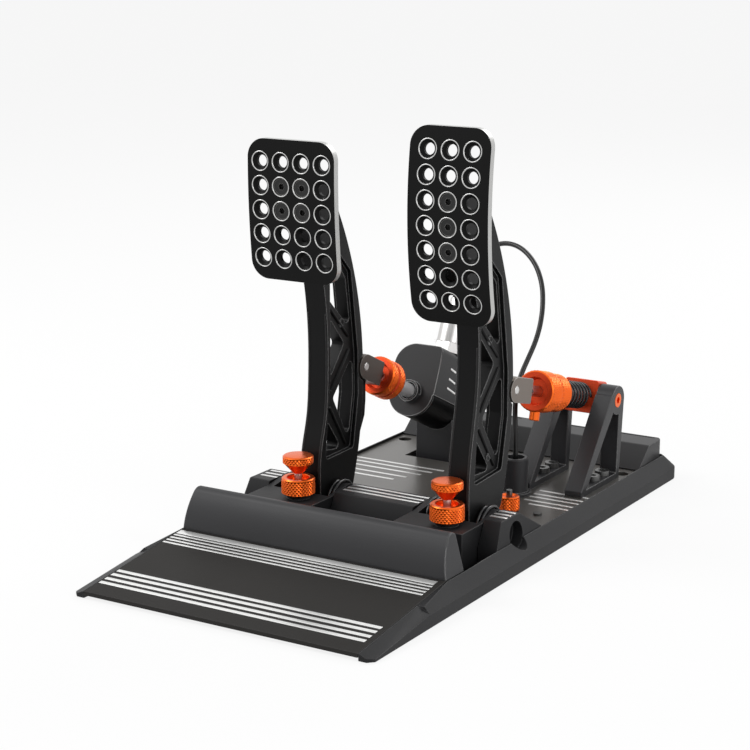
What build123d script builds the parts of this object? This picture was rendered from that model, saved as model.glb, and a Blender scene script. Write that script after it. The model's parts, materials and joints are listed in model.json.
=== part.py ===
from build123d import *
from math import atan2, cos, degrees, pi, radians, sin, sqrt, tan
import os

os.makedirs("parts", exist_ok=True)

# Sim racing pedal set: a brake and a throttle pedal on one base, with their push rods, hydraulic
# cylinder, spring and adjusters. Millimetres, +X right, +Y rearward, +Z up, with the origin on the
# floor under the middle of the base. A "back" is a distance behind the front edge of the base.

# Clearances shared by the whole set
seat_gap = 0.2
running_gap = 0.05
snug_gap = 0.01
overrun = 1.0

# Base
brake_side_room = 65.0
pedal_spacing = 120.0
throttle_side_room = 45.0
base_width = brake_side_room + pedal_spacing + throttle_side_room
floor_thickness = 3.0
wall_height = 9.0
rim_height = 18.0
rim_slope_run = 9.5
rim_lip = 0.5
rear_corner_radius = 14.0
front_corner_cut = 4.0
toe_height = 5.0
skirt_length = 70.0
skirt_edge_height = 0.8
ledge_height = 13.0
ledge_width = 4.0
base_bolt_radius = 3.3
base_bolt_inset = 19.0
front_bolt_room = 20.7
rear_bolt_room = 12.0
access_radius = 5.2

# Footrest and heel ridge, one behind the other from the front edge
ramp_length = 107.0
lip_length = 6.0
plate_wall = 3.0
footrest_ribs = 4
footrest_toe_length = 13.4
ridge_gap = 0.3
ridge_depth = 24.0
ridge_height = 46.0
ridge_end_lean = 4.0
ridge_wall = 3.5
ridge_foot_back = ramp_length + ridge_gap
ridge_back = ridge_foot_back + ridge_depth
front_bolts_back = ridge_back + front_bolt_room

# Pedal pivots. A "reach" is a distance before or behind the pivot
pivot_room = 74.2
pivot_back = ridge_back + pivot_room
pivot_height = 21.5
brake_x = brake_side_room - base_width / 2
throttle_x = brake_x + pedal_spacing
arm_thickness = 17.0
axle_radius = 6.0
hub_radius = 12.0
bearing_radius = 8.0
bearing_width = 5.0
arm_side_gap = 1.0
left_spool_length = 20.5
right_spool_length = 6.8
left_cheek = 5.0
right_cheek = 3.0
bay_gap = 0.5
bay_sill_drop = 3.0
spool_radius = 14.9
block_front_reach = 49.5
block_rear_reach = 27.5
block_wall = 5.0
shelf_top = 33.0
shelf_thickness = 5.0
shelf_reach = 22.5
spring_wire = 2.6
spring_pitch = 3.1
spring_inner_radius = 15.2
left_turns = 5.5
right_turns = 1.25
block_front_back = pivot_back - block_front_reach
block_rear_back = pivot_back + block_rear_reach
shelf_rear_back = pivot_back - shelf_reach

# Pivot beam
beam_front_reach = 28.5
beam_rear_reach = 37.5
beam_top_front_reach = 19.5
beam_top_rear_reach = 6.5
beam_height = 35.5
beam_foot_height = 18.0
beam_end_lean = 2.0
beam_wall = 3.0
beam_tie = 7.0
side_hole_radius = 9.5
side_hole_depth = 9.0
beam_front_back = pivot_back - beam_front_reach
beam_rear_back = pivot_back + beam_rear_reach
beam_top_front_back = pivot_back - beam_top_front_reach
beam_top_rear_back = pivot_back + beam_top_rear_reach

# Pedal arms, from the pivot. The pins' places are shares of the arm's height: (rearward, up)
throttle_arm_height = 240.5
brake_arm_height = 242.5
throttle_pin_shares = (0.193347, 0.367983)
brake_pin_shares = (0.171134, 0.377320)
throttle_pad_reach = 30.5
brake_pad_reach = 33.5
web_recess = 3.5
window_radius = 3.0
lug_thickness = 8.0
lug_clearance_radius = 10.2
toe_length = 39.5
toe_top_drop = 6.0
toe_bottom_drop = 11.5
brake_flange_width = 30.0
flange_depth = 6.0
magnet_radius = 4.0
magnet_gap = 0.8
angle_board_thickness = 1.6
angle_board_side = 15.0
throttle_pad_back = pivot_back - throttle_pad_reach
brake_pad_back = pivot_back - brake_pad_reach
throttle_pin_back = pivot_back + throttle_pin_shares[0] * throttle_arm_height
throttle_pin_height = pivot_height + throttle_pin_shares[1] * throttle_arm_height
brake_pin_back = pivot_back + brake_pin_shares[0] * brake_arm_height
brake_pin_height = pivot_height + brake_pin_shares[1] * brake_arm_height

# Pedal plates. Each stands up past its arm's top by its "rise", and its face lies before the arm's pad
plate_thickness = 5.0
plate_corner = 13.0
hole_radius = 4.0
hole_rim_radius = 7.0
hole_pitch_x = 16.6
hole_pitch_z = 16.7
brake_plate_width = 70.0
brake_plate_tall = 97.5
brake_plate_rise = 21.0
brake_face_gap = 8.1
brake_face_radius = 570.0
brake_apex_drop = 23.0
brake_columns = 4
brake_rows = 5
brake_row_drop = 15.5
throttle_plate_width = 60.0
throttle_plate_tall = 130.5
throttle_plate_rise = 38.5
throttle_face_gap = 8.4
throttle_face_radius = 310.0
throttle_apex_drop = 57.5
throttle_pad_depth = 4.0
throttle_columns = 3
throttle_rows = 7
throttle_row_drop = 15.0
plate_screw_radius = 3.0
plate_screw_length = 17.0
plate_socket_radius = 2.4
brake_plate_high = pivot_height + brake_arm_height + brake_plate_rise
brake_plate_low = brake_plate_high - brake_plate_tall
brake_face_back = brake_pad_back - brake_face_gap
brake_face_apex = brake_plate_high - brake_apex_drop
brake_top_row = brake_plate_high - brake_row_drop
throttle_plate_high = pivot_height + throttle_arm_height + throttle_plate_rise
throttle_plate_low = throttle_plate_high - throttle_plate_tall
throttle_face_back = throttle_pad_back - throttle_face_gap
throttle_face_apex = throttle_plate_high - throttle_apex_drop
throttle_top_row = throttle_plate_high - throttle_row_drop

# Push rod lines, each from its pin down to the trunnion or the cylinder's mouth
throttle_line_run = 129.5
throttle_line_drop = 33.0
brake_line_run = 82.0
brake_line_drop = 38.0
pin_radius = 3.0
fork_radius = 9.0
fork_gap = 0.3
fork_ear = 5.0
fork_slot_depth = 12.0
fork_length = 24.0
rod_radius = 4.0
thread_bite = 8.0
trunnion_back = throttle_pin_back + throttle_line_run
trunnion_height = throttle_pin_height - throttle_line_drop
cylinder_back = brake_pin_back + brake_line_run
cylinder_height = brake_pin_height - brake_line_drop

# Throttle adjuster and spring
nut_radius = 15.3
front_nut_length = 17.5
rear_nut_length = 16.5
nut_start = 47.0
nut_spacing = 0.6
nut_dish_radius = 10.0
nut_dish_depth = 5.0
set_screw_radius = 3.8
set_screw_length = 10.0
set_screw_reach = 6.0
seat_washer_radius = 11.0
seat_washer_length = 2.0
coil_wire = 2.0
coil_inner_radius = 8.2
coil_turns = 7.0
trunnion_width = 27.4
trunnion_tall = 25.0
trunnion_deep = 16.0
trunnion_bore = 5.2
rod_tail = 9.0
bracket_gap = 0.3
bracket_width = 14.0
bracket_boss_radius = 11.0
bracket_strap = 5.5
bracket_web = 8.8
bracket_front_reach = 60.5
bracket_rear_reach = 5.5
bracket_foot = 4.5
bracket_bolt_inset = 16.0
bracket_bolt_spacing = 16.0
trunnion_bolt_radius = 4.0
trunnion_bolt_bite = 6.0
bolt_head_radius = 5.4
bolt_head_height = 4.0
bolt_socket_depth = 2.8
bracket_front_back = trunnion_back - bracket_front_reach
bracket_rear_back = trunnion_back + bracket_rear_reach

# Brake cylinder
knob_radius = 14.8
knob_start = 32.0
knob_length = 19.0
barrel_radius = 19.0
barrel_length = 86.0
barrel_bore = 13.0
barrel_edge = 1.0
piston_radius = 12.95
piston_length = 22.0
cap_radius = 16.0
cap_length = 7.0
cap_plug = 5.0
piston_seal_width = 2.0
piston_seal_depth = 2.0
front_seal_share = 0.6
fluid_chamber = 17.0
floating_piston_length = 7.0
fluid_port_radius = 1.5
elastomer_waist_radius = 9.0
elastomer_count = 3
lock_nut_radius = 7.5
lock_nut_length = 6.0
rod_ball_radius = 6.0
rod_sleeve_radius = 5.5
ball_gap = 0.35
piston_start = 5.0
shell_left = 20.0
shell_right = 20.0
shell_rise = 38.0
shell_length = 62.0
shell_shoulder = 17.0
shell_corner = 5.0
shell_face = 3.0
shell_boss_radius = 8.5
shell_boss_length = 5.0
shell_bore = 6.6
cradle_width = 32.0
cradle_lead = 33.0
cradle_length = 38.0
cradle_drop = 7.0
cradle_room = 7.0
pocket_side = 22.0
sensor_radius = 10.0
sensor_length = 34.0
sensor_hex_radius = 11.5
sensor_hex_length = 8.0
sensor_cap_radius = 6.5
sensor_cap_length = 10.0
sensor_thread_radius = 5.0
sensor_thread_length = 8.0
sensor_along = 25.0
sensor_offset = 8.0
cradle_front_back = cylinder_back + cradle_lead
cradle_rear_back = cradle_front_back + cradle_length
pocket_front_back = cradle_front_back - cradle_room

# Deck, and the rear cover that closes the base behind the brackets and the cradle
deck_thickness = 2.8
cover_bracket_room = 21.0
cover_cradle_room = 8.0
cover_cap_room = 3.0
cover_length = 58.0
cover_height = 32.0
cover_slope = 19.0
cover_foot_height = 17.0
cover_wall = 2.5
cover_top_rear_inset = 13.0
cover_corner = 10.0
cover_groove_inset = 2.5
cover_groove_width = 2.0
cover_groove_depth = 0.8
line_slope = brake_line_drop / brake_line_run
cap_reach = (barrel_length + cap_length) / sqrt(1 + line_slope**2)
cap_foot_height = cylinder_height - line_slope * cap_reach - cover_foot_height
cap_foot_back = cylinder_back + cap_reach - line_slope * cap_foot_height
cover_front_back = max(
    bracket_rear_back + cover_bracket_room,
    cradle_rear_back + cover_cradle_room,
    cap_foot_back + cover_cap_room,
)
base_length = cover_front_back + cover_length
rear_bolts_back = cover_front_back - rear_bolt_room

# Cable and its post. The places are (right, back, height) from the post's foot, from the sensor down
post_inset = 20.0
post_room = 13.0
post_radius = 9.5
post_bore = 6.8
post_top = 44.0
post_flange_radius = 12.0
post_flange = 2.5
grommet_length = 6.0
cable_radius = 1.9
cable_lead = 14.0
cable_arc_share = 0.45
cable_places = [
    (-86.1, 88.4, 166.1),
    (-74.3, 89.8, 178.7),
    (-58.2, 87.7, 185.8),
    (-40.4, 82.5, 184.3),
    (-24.4, 75.0, 174.7),
    (-13.7, 66.1, 161.0),
    (-7.9, 56.3, 146.7),
    (-4.9, 46.5, 133.8),
    (-4.0, 36.8, 122.4),
    (-4.7, 27.1, 112.2),
    (-5.7, 17.9, 101.9),
    (-5.4, 10.3, 91.1),
    (-3.6, 4.9, 79.7),
    (-1.5, 1.6, 68.0),
    (0.0, 0.0, 56.0),
    (0.0, 0.0, 38.0),
]
post_x = throttle_x - post_inset
post_back = bracket_front_back - post_room

# Stop adjusters
adjuster_reach = 35.5
adjuster_boss_radius = 8.0
adjuster_boss_height = 2.7
adjuster_nut_radius = 12.0
adjuster_nut_height = 12.0
adjuster_knob_radius = 11.0
adjuster_knob_height = 6.0
adjuster_knob_gap = 3.1
adjuster_screw_radius = 2.75
adjuster_neck_radius = 3.5
adjuster_neck_length = 7.0
adjuster_rim = 1.0
stop_gap = 0.3
throttle_travel = 13.0
brake_travel = 8.0
adjuster_recess_radius = 8.0
adjuster_recess_depth = 3.0
clamp_nut_reach = 55.0
clamp_nut_radius = 7.5
clamp_nut_height = 11.0
clamp_stud_radius = 2.2
clamp_stud_top = 34.0
clamp_washer_radius = 7.0
clamp_washer_thickness = 2.8
adjuster_back = pivot_back - adjuster_reach
clamp_nut_back = pivot_back + clamp_nut_reach

# Screws and bosses in the base
block_bolt_radius = 1.8
block_bolt_head = 3.2
block_foot_depth = 10.0
block_front_foot_depth = 9.0
block_foot_height = 5.0
deck_screw_radius = 1.6
deck_screw_head = 3.2
deck_screw_inset = 27.0
deck_screw_rear_inset = 35.0
deck_screw_front_room = 27.0
deck_screw_rear_room = 10.0
boss_radius = 5.0

# Electronics
board_width = 90.0
board_length = 30.0
board_thickness = 1.6
board_height = 14.0
board_rear_room = 16.0
socket_width = 12.0
socket_height = 11.0
socket_length = 17.0
socket_wall = 1.6
board_front_back = base_length - board_rear_room - board_length

half_width = base_width / 2
front = -base_length / 2
inner_half = half_width - rim_slope_run - rim_lip
cavity_half = inner_half - ledge_width
lid_half = inner_half - seat_gap
pivot_y = front + pivot_back
deck_top = ledge_height + deck_thickness
base_bolt_spacing = base_width - 2 * base_bolt_inset
pedal_places = (("brake", brake_x), ("throttle", throttle_x))


def write(name, built):
    """Labels a finished piece and writes it under its name."""
    built.part.label = name
    export_step(built.part, f"parts/{name}.step")


def side_profile(points, x, half_wide, mode=Mode.ADD):
    """Extrudes a closed outline of (back, height) points to both sides of x."""
    with BuildSketch(Plane.YZ.offset(x)) as profile:
        Polygon(*[(front + back, height) for back, height in points], align=None)
    extrude(profile.sketch, amount=half_wide, both=True, mode=mode)


def turned(plane, points, mode=Mode.ADD):
    """Revolves a closed outline of (radius, distance) points about the plane's normal."""
    with BuildSketch(Plane(plane.origin, x_dir=plane.x_dir, z_dir=-plane.y_dir)) as profile:
        Polygon(*points, align=None)
    revolve(profile.sketch, axis=Axis(plane.origin, plane.z_dir), mode=mode)


def rod(plane, start, end, radius, mode=Mode.ADD):
    """Makes a round bar along the plane's normal, from one distance to another."""
    with BuildSketch(plane.offset(start)) as section:
        Circle(radius)
    extrude(section.sketch, amount=end - start, mode=mode)


def across(x, back, height):
    """Returns the plane at a place whose normal runs to the right."""
    return Plane((x, front + back, height), x_dir=(0, 1, 0), z_dir=(1, 0, 0))


def upright(x, back, height):
    """Returns the level plane at a place."""
    return Plane((x, front + back, height))


def line_plane(x, from_back, from_height, to_back, to_height):
    """Returns the plane at one point whose normal runs to the other."""
    return Plane(
        (x, front + from_back, from_height),
        x_dir=(1, 0, 0),
        z_dir=(0, to_back - from_back, to_height - from_height),
    )


def coil_path(plane, radius, pitch, turns):
    """Returns a helix along the plane's normal, as two tangent arcs for each half turn or less."""
    steps = round(4 * turns)
    grouped = [min(2, steps - done) for done in range(0, steps, 2)]
    rise = pitch / (2 * pi)
    length = sqrt(radius**2 + rise**2)

    def place(angle):
        return plane.from_local_coords(Vector(radius * cos(angle), radius * sin(angle), rise * angle))

    def heading(angle):
        local = Vector(-radius * sin(angle), radius * cos(angle), rise) / length
        return plane.from_local_coords(local) - plane.origin

    arcs = []
    angle = 0.0
    for quarters in grouped:
        last = angle + quarters * pi / 2
        begin, end = place(angle), place(last)
        out, into = heading(angle), heading(last)
        chord = end - begin
        both = out + into
        spread = 2 * (1 - out.dot(into))
        reach = (sqrt(chord.dot(both) ** 2 + spread * chord.dot(chord)) - chord.dot(both)) / spread
        joint = (begin + end + (out - into) * reach) / 2
        first_chord = (joint - begin).normalized()
        through = first_chord * (2 * out.dot(first_chord)) - out
        arcs.append(Edge.make_tangent_arc(begin, out, joint))
        arcs.append(Edge.make_tangent_arc(joint, through, end))
        angle = last
    return Wire(arcs)


def coil(plane, radius, wire_radius, pitch, turns):
    """Sweeps a round wire along a helix."""
    path = coil_path(plane, radius, pitch, turns)
    with BuildSketch(Plane(path @ 0, z_dir=path % 0)) as section:
        Circle(wire_radius)
    sweep(section.sketch, path=path)


# Base tray
with BuildSketch() as base_outline:
    Rectangle(base_width, base_length)
    fillet(base_outline.vertices().group_by(Axis.Y)[-1], rear_corner_radius)
    chamfer(base_outline.vertices().group_by(Axis.Y)[0], front_corner_cut)
rim_taper = degrees(atan2(rim_slope_run, rim_height - wall_height))
skirt_share = skirt_length / ramp_length
skirt_top = toe_height + (rim_height - toe_height) * skirt_share
cavity_rear_back = base_length - rim_slope_run - rim_lip - ledge_width
lid_rear_back = base_length - rim_slope_run - rim_lip
bracket_bolt_rear = bracket_rear_back - bracket_bolt_inset
bracket_bolt_backs = (bracket_bolt_rear, bracket_bolt_rear - bracket_bolt_spacing)
bracket_offset = trunnion_width / 2 + bracket_gap + bracket_width / 2
block_left = arm_thickness / 2 + arm_side_gap + left_spool_length + left_cheek
block_right = arm_thickness / 2 + arm_side_gap + right_spool_length + right_cheek
spool_face = arm_thickness / 2 + arm_side_gap
front_feet_back = block_front_back + block_wall + block_front_foot_depth / 2
rear_feet_back = block_rear_back - block_foot_depth / 2
block_bolt_places = [
    (x + offset, back)
    for _, x in pedal_places
    for offset in (-(spool_face + left_spool_length / 2), spool_face + right_spool_length / 2)
    for back in (front_feet_back, rear_feet_back)
]
deck_screw_front = (half_width - deck_screw_inset, beam_rear_back + deck_screw_front_room)
deck_screw_rear = (half_width - deck_screw_rear_inset, cover_front_back - deck_screw_rear_room)
deck_screw_places = [(side * x, back) for side in (-1, 1) for x, back in (deck_screw_front, deck_screw_rear)]
board_post_places = [
    (side * (board_width / 2 - boss_radius), board_front_back + back)
    for side in (-1, 1)
    for back in (boss_radius, board_length - boss_radius)
]
with BuildPart() as base_tray:
    extrude(base_outline.sketch, amount=wall_height)
    rim_outline = base_outline.sketch.moved(Location((0, 0, wall_height)))
    extrude(rim_outline, amount=rim_height - wall_height, taper=rim_taper)
    side_profile(
        [(0, 0), (0, toe_height), (ramp_length, rim_height), (base_length, rim_height), (base_length, 0)],
        0,
        half_width,
        Mode.INTERSECT,
    )
    for side in (-1, 1):
        wedge = []
        for back, inner_z, outer_z in (
            (-overrun, toe_height, skirt_edge_height),
            (skirt_length, skirt_top, wall_height),
        ):
            with BuildSketch(Plane.XZ.offset(-front - back)) as section:
                Polygon(
                    (side * inner_half, inner_z),
                    (side * (half_width + overrun), outer_z),
                    (side * (half_width + overrun), beam_height),
                    (side * inner_half, beam_height),
                    align=None,
                )
            wedge.append(section.sketch.face())
        loft(wedge, ruled=True, mode=Mode.SUBTRACT)
    # Hollow for the deck's underside, the lids' seat and the footrest's bed
    side_profile(
        [
            (ramp_length - overrun, floor_thickness),
            (ramp_length - overrun, beam_height),
            (cavity_rear_back, beam_height),
            (cavity_rear_back, floor_thickness),
        ],
        0,
        cavity_half,
        Mode.SUBTRACT,
    )
    side_profile(
        [
            (ramp_length - overrun, ledge_height),
            (ramp_length - overrun, beam_height),
            (lid_rear_back, beam_height),
            (lid_rear_back, ledge_height),
        ],
        0,
        inner_half,
        Mode.SUBTRACT,
    )
    side_profile(
        [
            (-overrun, floor_thickness),
            (-overrun, beam_height),
            (beam_rear_back, beam_height),
            (beam_rear_back, floor_thickness),
        ],
        0,
        inner_half,
        Mode.SUBTRACT,
    )
    side_profile(
        [(-overrun, -overrun), (-overrun, toe_height), (lip_length, toe_height), (lip_length, -overrun)],
        0,
        inner_half,
        Mode.SUBTRACT,
    )
    # Ribs that carry the deck under the two throttle brackets
    for side in (-1, 1):
        side_profile(
            [
                (bracket_front_back, floor_thickness),
                (bracket_front_back, ledge_height),
                (bracket_rear_back, ledge_height),
                (bracket_rear_back, floor_thickness),
            ],
            throttle_x + side * bracket_offset,
            bracket_width / 2 - overrun,
        )
        for back in bracket_bolt_backs:
            top = upright(throttle_x + side * bracket_offset, back, ledge_height)
            rod(top, overrun, floor_thickness - ledge_height, pin_radius + snug_gap, Mode.SUBTRACT)
    # Bosses for the deck's screws, the clamp stud and the control board
    for x, back in deck_screw_places:
        rod(upright(x, back, floor_thickness), 0, ledge_height - floor_thickness, boss_radius)
        screw_bore = deck_screw_radius + snug_gap
        rod(upright(x, back, floor_thickness), 0, ledge_height, screw_bore, Mode.SUBTRACT)
    rod(upright(throttle_x, clamp_nut_back, floor_thickness), 0, ledge_height - floor_thickness, boss_radius)
    stud_bore = clamp_stud_radius + snug_gap
    rod(upright(throttle_x, clamp_nut_back, floor_thickness), 0, ledge_height, stud_bore, Mode.SUBTRACT)
    for x, back in board_post_places:
        rod(upright(x, back, floor_thickness), 0, board_height - floor_thickness, boss_radius)
    for x, back in block_bolt_places:
        bolt_bore = block_bolt_radius + snug_gap
        rod(upright(x, back, 0), -overrun, floor_thickness + overrun, bolt_bore, Mode.SUBTRACT)
    rod(across(-half_width, pivot_back, pivot_height), 0, base_width, side_hole_radius, Mode.SUBTRACT)
    for back in (front_bolts_back, rear_bolts_back):
        with Locations((0, front + back, floor_thickness)):
            with GridLocations(base_bolt_spacing, 1, 2, 1):
                Hole(base_bolt_radius)
write("base_tray", base_tray)

# Footrest plate
ramp_rise = (rim_height - toe_height) / ramp_length
with BuildPart() as footrest_plate:
    side_profile(
        [
            (0, toe_height - plate_wall),
            (0, toe_height),
            (ramp_length, rim_height),
            (ramp_length, floor_thickness),
            (lip_length, floor_thickness),
        ],
        0,
        lid_half,
    )
    cell_width = (2 * lid_half - plate_wall) / footrest_ribs
    for cell in range(footrest_ribs):
        hollow_front = (floor_thickness + plate_wall - toe_height) / ramp_rise + footrest_toe_length
        side_profile(
            [
                (hollow_front, floor_thickness - overrun),
                (hollow_front, toe_height - plate_wall + ramp_rise * hollow_front),
                (ramp_length - plate_wall, rim_height - plate_wall - ramp_rise * plate_wall),
                (ramp_length - plate_wall, floor_thickness - overrun),
            ],
            (cell - (footrest_ribs - 1) / 2) * cell_width,
            (cell_width - plate_wall) / 2,
            Mode.SUBTRACT,
        )
write("footrest_plate", footrest_plate)

# Heel ridge
ridge_crest_share = 0.35
ridge_bulge_share = 0.10
ridge_rear_share = 0.80
ridge_side = ridge_height - rim_height
ridge_front_y = front + ridge_foot_back
with BuildPart() as heel_ridge:
    with BuildSketch(Plane.YZ):
        with BuildLine():
            foot = (ridge_front_y, rim_height)
            brow_height = rim_height + ridge_side * (1 - ridge_bulge_share)
            brow = (ridge_front_y + ridge_depth * ridge_crest_share, brow_height)
            hollow = (ridge_front_y + ridge_depth * ridge_bulge_share, rim_height + ridge_side / 2)
            crest = (ridge_front_y + ridge_depth * (ridge_crest_share + ridge_rear_share) / 2, ridge_height)
            lip = (ridge_front_y + ridge_depth * ridge_rear_share, brow_height)
            ThreePointArc(foot, hollow, brow)
            ThreePointArc(brow, crest, lip)
            Polyline(
                lip,
                (ridge_front_y + ridge_depth, rim_height),
                (ridge_front_y + ridge_depth, floor_thickness),
                (ridge_front_y, floor_thickness),
                foot,
            )
        make_face()
    extrude(amount=lid_half, both=True)
    with BuildSketch(Plane.XZ.offset(-ridge_front_y)) as ends:
        Polygon(
            (-lid_half, floor_thickness),
            (-lid_half, rim_height),
            (ridge_end_lean - lid_half, ridge_height + overrun),
            (lid_half - ridge_end_lean, ridge_height + overrun),
            (lid_half, rim_height),
            (lid_half, floor_thickness),
            align=None,
        )
    extrude(ends.sketch, amount=ridge_depth, both=True, mode=Mode.INTERSECT)
    side_profile(
        [
            (ridge_foot_back + ridge_wall, floor_thickness - overrun),
            (ridge_foot_back + ridge_wall, rim_height),
            (ridge_foot_back + ridge_depth * ridge_crest_share + ridge_wall, ridge_height - 2 * ridge_wall),
            (ridge_foot_back + ridge_depth * ridge_rear_share - ridge_wall, ridge_height - 2 * ridge_wall),
            (ridge_back - ridge_wall, rim_height),
            (ridge_back - ridge_wall, floor_thickness - overrun),
        ],
        0,
        lid_half - ridge_end_lean - ridge_wall,
        Mode.SUBTRACT,
    )
write("heel_ridge", heel_ridge)

# Pivot beam, with a bay for each pedal's pivot block
bay_left = block_left + bay_gap
bay_right = block_right + bay_gap
bay_rear_back = block_rear_back + bay_gap
with BuildPart() as pivot_beam:
    side_profile(
        [
            (beam_front_back, floor_thickness),
            (beam_front_back, beam_foot_height),
            (beam_top_front_back, beam_height),
            (beam_top_rear_back, beam_height),
            (beam_rear_back, beam_foot_height),
            (beam_rear_back, floor_thickness),
        ],
        0,
        lid_half,
    )
    with BuildSketch(Plane.XZ.offset(-front - beam_front_back)) as ends:
        Polygon(
            (-lid_half, floor_thickness),
            (-lid_half, beam_foot_height),
            (beam_end_lean - lid_half, beam_height),
            (lid_half - beam_end_lean, beam_height),
            (lid_half, beam_foot_height),
            (lid_half, floor_thickness),
            align=None,
        )
    extrude(ends.sketch, amount=-(beam_rear_back - beam_front_back), mode=Mode.INTERSECT)
    for _, x in pedal_places:
        side_profile(
            [
                (block_front_back, 0),
                (block_front_back, beam_height + overrun),
                (beam_rear_back + overrun, beam_height + overrun),
                (beam_rear_back + overrun, pivot_height - bay_sill_drop),
                (bay_rear_back, pivot_height - bay_sill_drop),
                (bay_rear_back, 0),
            ],
            x + (bay_right - bay_left) / 2,
            (bay_left + bay_right) / 2,
            Mode.SUBTRACT,
        )
    side_profile(
        [
            (beam_front_back + beam_wall, floor_thickness - overrun),
            (beam_front_back + beam_wall, beam_foot_height),
            (beam_top_front_back + beam_wall, beam_height - beam_wall),
            (beam_top_rear_back - beam_wall, beam_height - beam_wall),
            (beam_rear_back - beam_tie, beam_foot_height - beam_wall),
            (beam_rear_back - beam_tie, floor_thickness - overrun),
        ],
        (brake_x + bay_right + throttle_x - bay_left) / 2,
        (throttle_x - bay_left - brake_x - bay_right) / 2 - beam_wall,
        Mode.SUBTRACT,
    )
    for side in (-1, 1):
        end = across(side * half_width, pivot_back, pivot_height)
        rod(end, 0, -side * (side_hole_depth + rim_slope_run), side_hole_radius, Mode.SUBTRACT)
    magnet_way = across(throttle_x - bay_left, pivot_back, pivot_height)
    rod(magnet_way, overrun, -beam_wall - overrun, magnet_radius + overrun, Mode.SUBTRACT)
write("pivot_beam", pivot_beam)

# Pivot blocks
pad_height = pivot_height - toe_bottom_drop - seat_gap - floor_thickness
front_foot_rear = block_front_back + block_wall + block_front_foot_depth
for name, x in pedal_places:
    with BuildPart() as pivot_block:
        for cheek_x, thick in (
            (x - block_left + left_cheek / 2, left_cheek),
            (x + block_right - right_cheek / 2, right_cheek),
        ):
            side_profile(
                [
                    (block_front_back, floor_thickness),
                    (block_front_back, shelf_top),
                    (shelf_rear_back, shelf_top),
                    (pivot_back, pivot_height + spool_radius),
                    (block_rear_back, pivot_height),
                    (block_rear_back, floor_thickness),
                ],
                cheek_x,
                thick / 2,
            )
        rod(across(x, pivot_back, pivot_height), -spool_face, -block_left, spool_radius)
        rod(across(x, pivot_back, pivot_height), spool_face, block_right, spool_radius)
        middle = x + (block_right - block_left) / 2
        half_block = (block_left + block_right) / 2
        side_profile(
            [
                (block_front_back, shelf_top - shelf_thickness),
                (block_front_back, shelf_top),
                (shelf_rear_back, shelf_top),
                (shelf_rear_back, shelf_top - shelf_thickness),
            ],
            middle,
            half_block,
        )
        side_profile(
            [
                (block_front_back, floor_thickness),
                (block_front_back, shelf_top),
                (block_front_back + block_wall, shelf_top),
                (block_front_back + block_wall, floor_thickness),
            ],
            middle,
            half_block,
        )
        side_profile(
            [
                (block_rear_back - block_foot_depth, floor_thickness),
                (block_rear_back - block_foot_depth, floor_thickness + block_foot_height),
                (block_rear_back, floor_thickness + block_foot_height),
                (block_rear_back, floor_thickness),
            ],
            middle,
            half_block,
        )
        for inner, outer in ((-spool_face, -block_left), (spool_face, block_right)):
            side_profile(
                [
                    (block_front_back, floor_thickness),
                    (block_front_back, floor_thickness + block_foot_height),
                    (front_foot_rear, floor_thickness + block_foot_height),
                    (front_foot_rear, floor_thickness),
                ],
                x + (inner + outer) / 2,
                abs(outer - inner) / 2,
            )
        for bolt_x, back in block_bolt_places:
            foot = upright(bolt_x, back, floor_thickness)
            rod(foot, -overrun, block_foot_height + overrun, block_bolt_radius + running_gap, Mode.SUBTRACT)
        rod(upright(x, adjuster_back, shelf_top), -overrun, adjuster_boss_height, adjuster_boss_radius)
        rod(
            upright(x, adjuster_back, shelf_top),
            adjuster_boss_height + overrun,
            -shelf_thickness - overrun,
            adjuster_screw_radius + running_gap,
            Mode.SUBTRACT,
        )
        # Bore for the axle, with a seat for a bearing at each end of the arm
        rod(
            across(x, pivot_back, pivot_height),
            -block_left - overrun,
            block_right + overrun,
            axle_radius + seat_gap,
            Mode.SUBTRACT,
        )
        for side in (-1, 1):
            rod(
                across(x, pivot_back, pivot_height),
                side * (spool_face - overrun),
                side * (spool_face + bearing_width),
                bearing_radius,
                Mode.SUBTRACT,
            )
    write(f"{name}_pivot_block", pivot_block)


# Bearings at both ends of each arm's hub
with BuildPart() as pivot_bearings:
    for _, x in pedal_places:
        place = across(x, pivot_back, pivot_height)
        for side in (-1, 1):
            near, far = side * spool_face, side * (spool_face + bearing_width)
            rod(place, near, far, bearing_radius)
            rod(place, near, far, axle_radius + running_gap, Mode.SUBTRACT)
write("pivot_bearings", pivot_bearings)

# Return springs wound on the blocks' spools
coil_radius = spring_inner_radius + spring_wire / 2
with BuildPart() as return_springs:
    for _, x in pedal_places:
        for turns, cheek_face in ((left_turns, left_cheek - block_left), (right_turns, spool_face)):
            first_turn = across(x + cheek_face + seat_gap + spring_wire / 2, pivot_back, pivot_height)
            coil(first_turn, coil_radius, spring_wire / 2, spring_pitch, turns)
write("return_springs", return_springs)
print("return spring least gap to itself", round(spring_pitch - spring_wire, 2))

# Bump pads that the arms' toes rest on
pad_radius = arm_thickness / 4
with BuildPart() as bump_pads:
    for _, x in pedal_places:
        rod(upright(x, pivot_back - toe_length + pad_radius, floor_thickness), 0, pad_height, pad_radius)
    fillet(bump_pads.edges().group_by(Axis.Z)[-1], pad_height / 4)
write("bump_pads", bump_pads)

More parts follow.
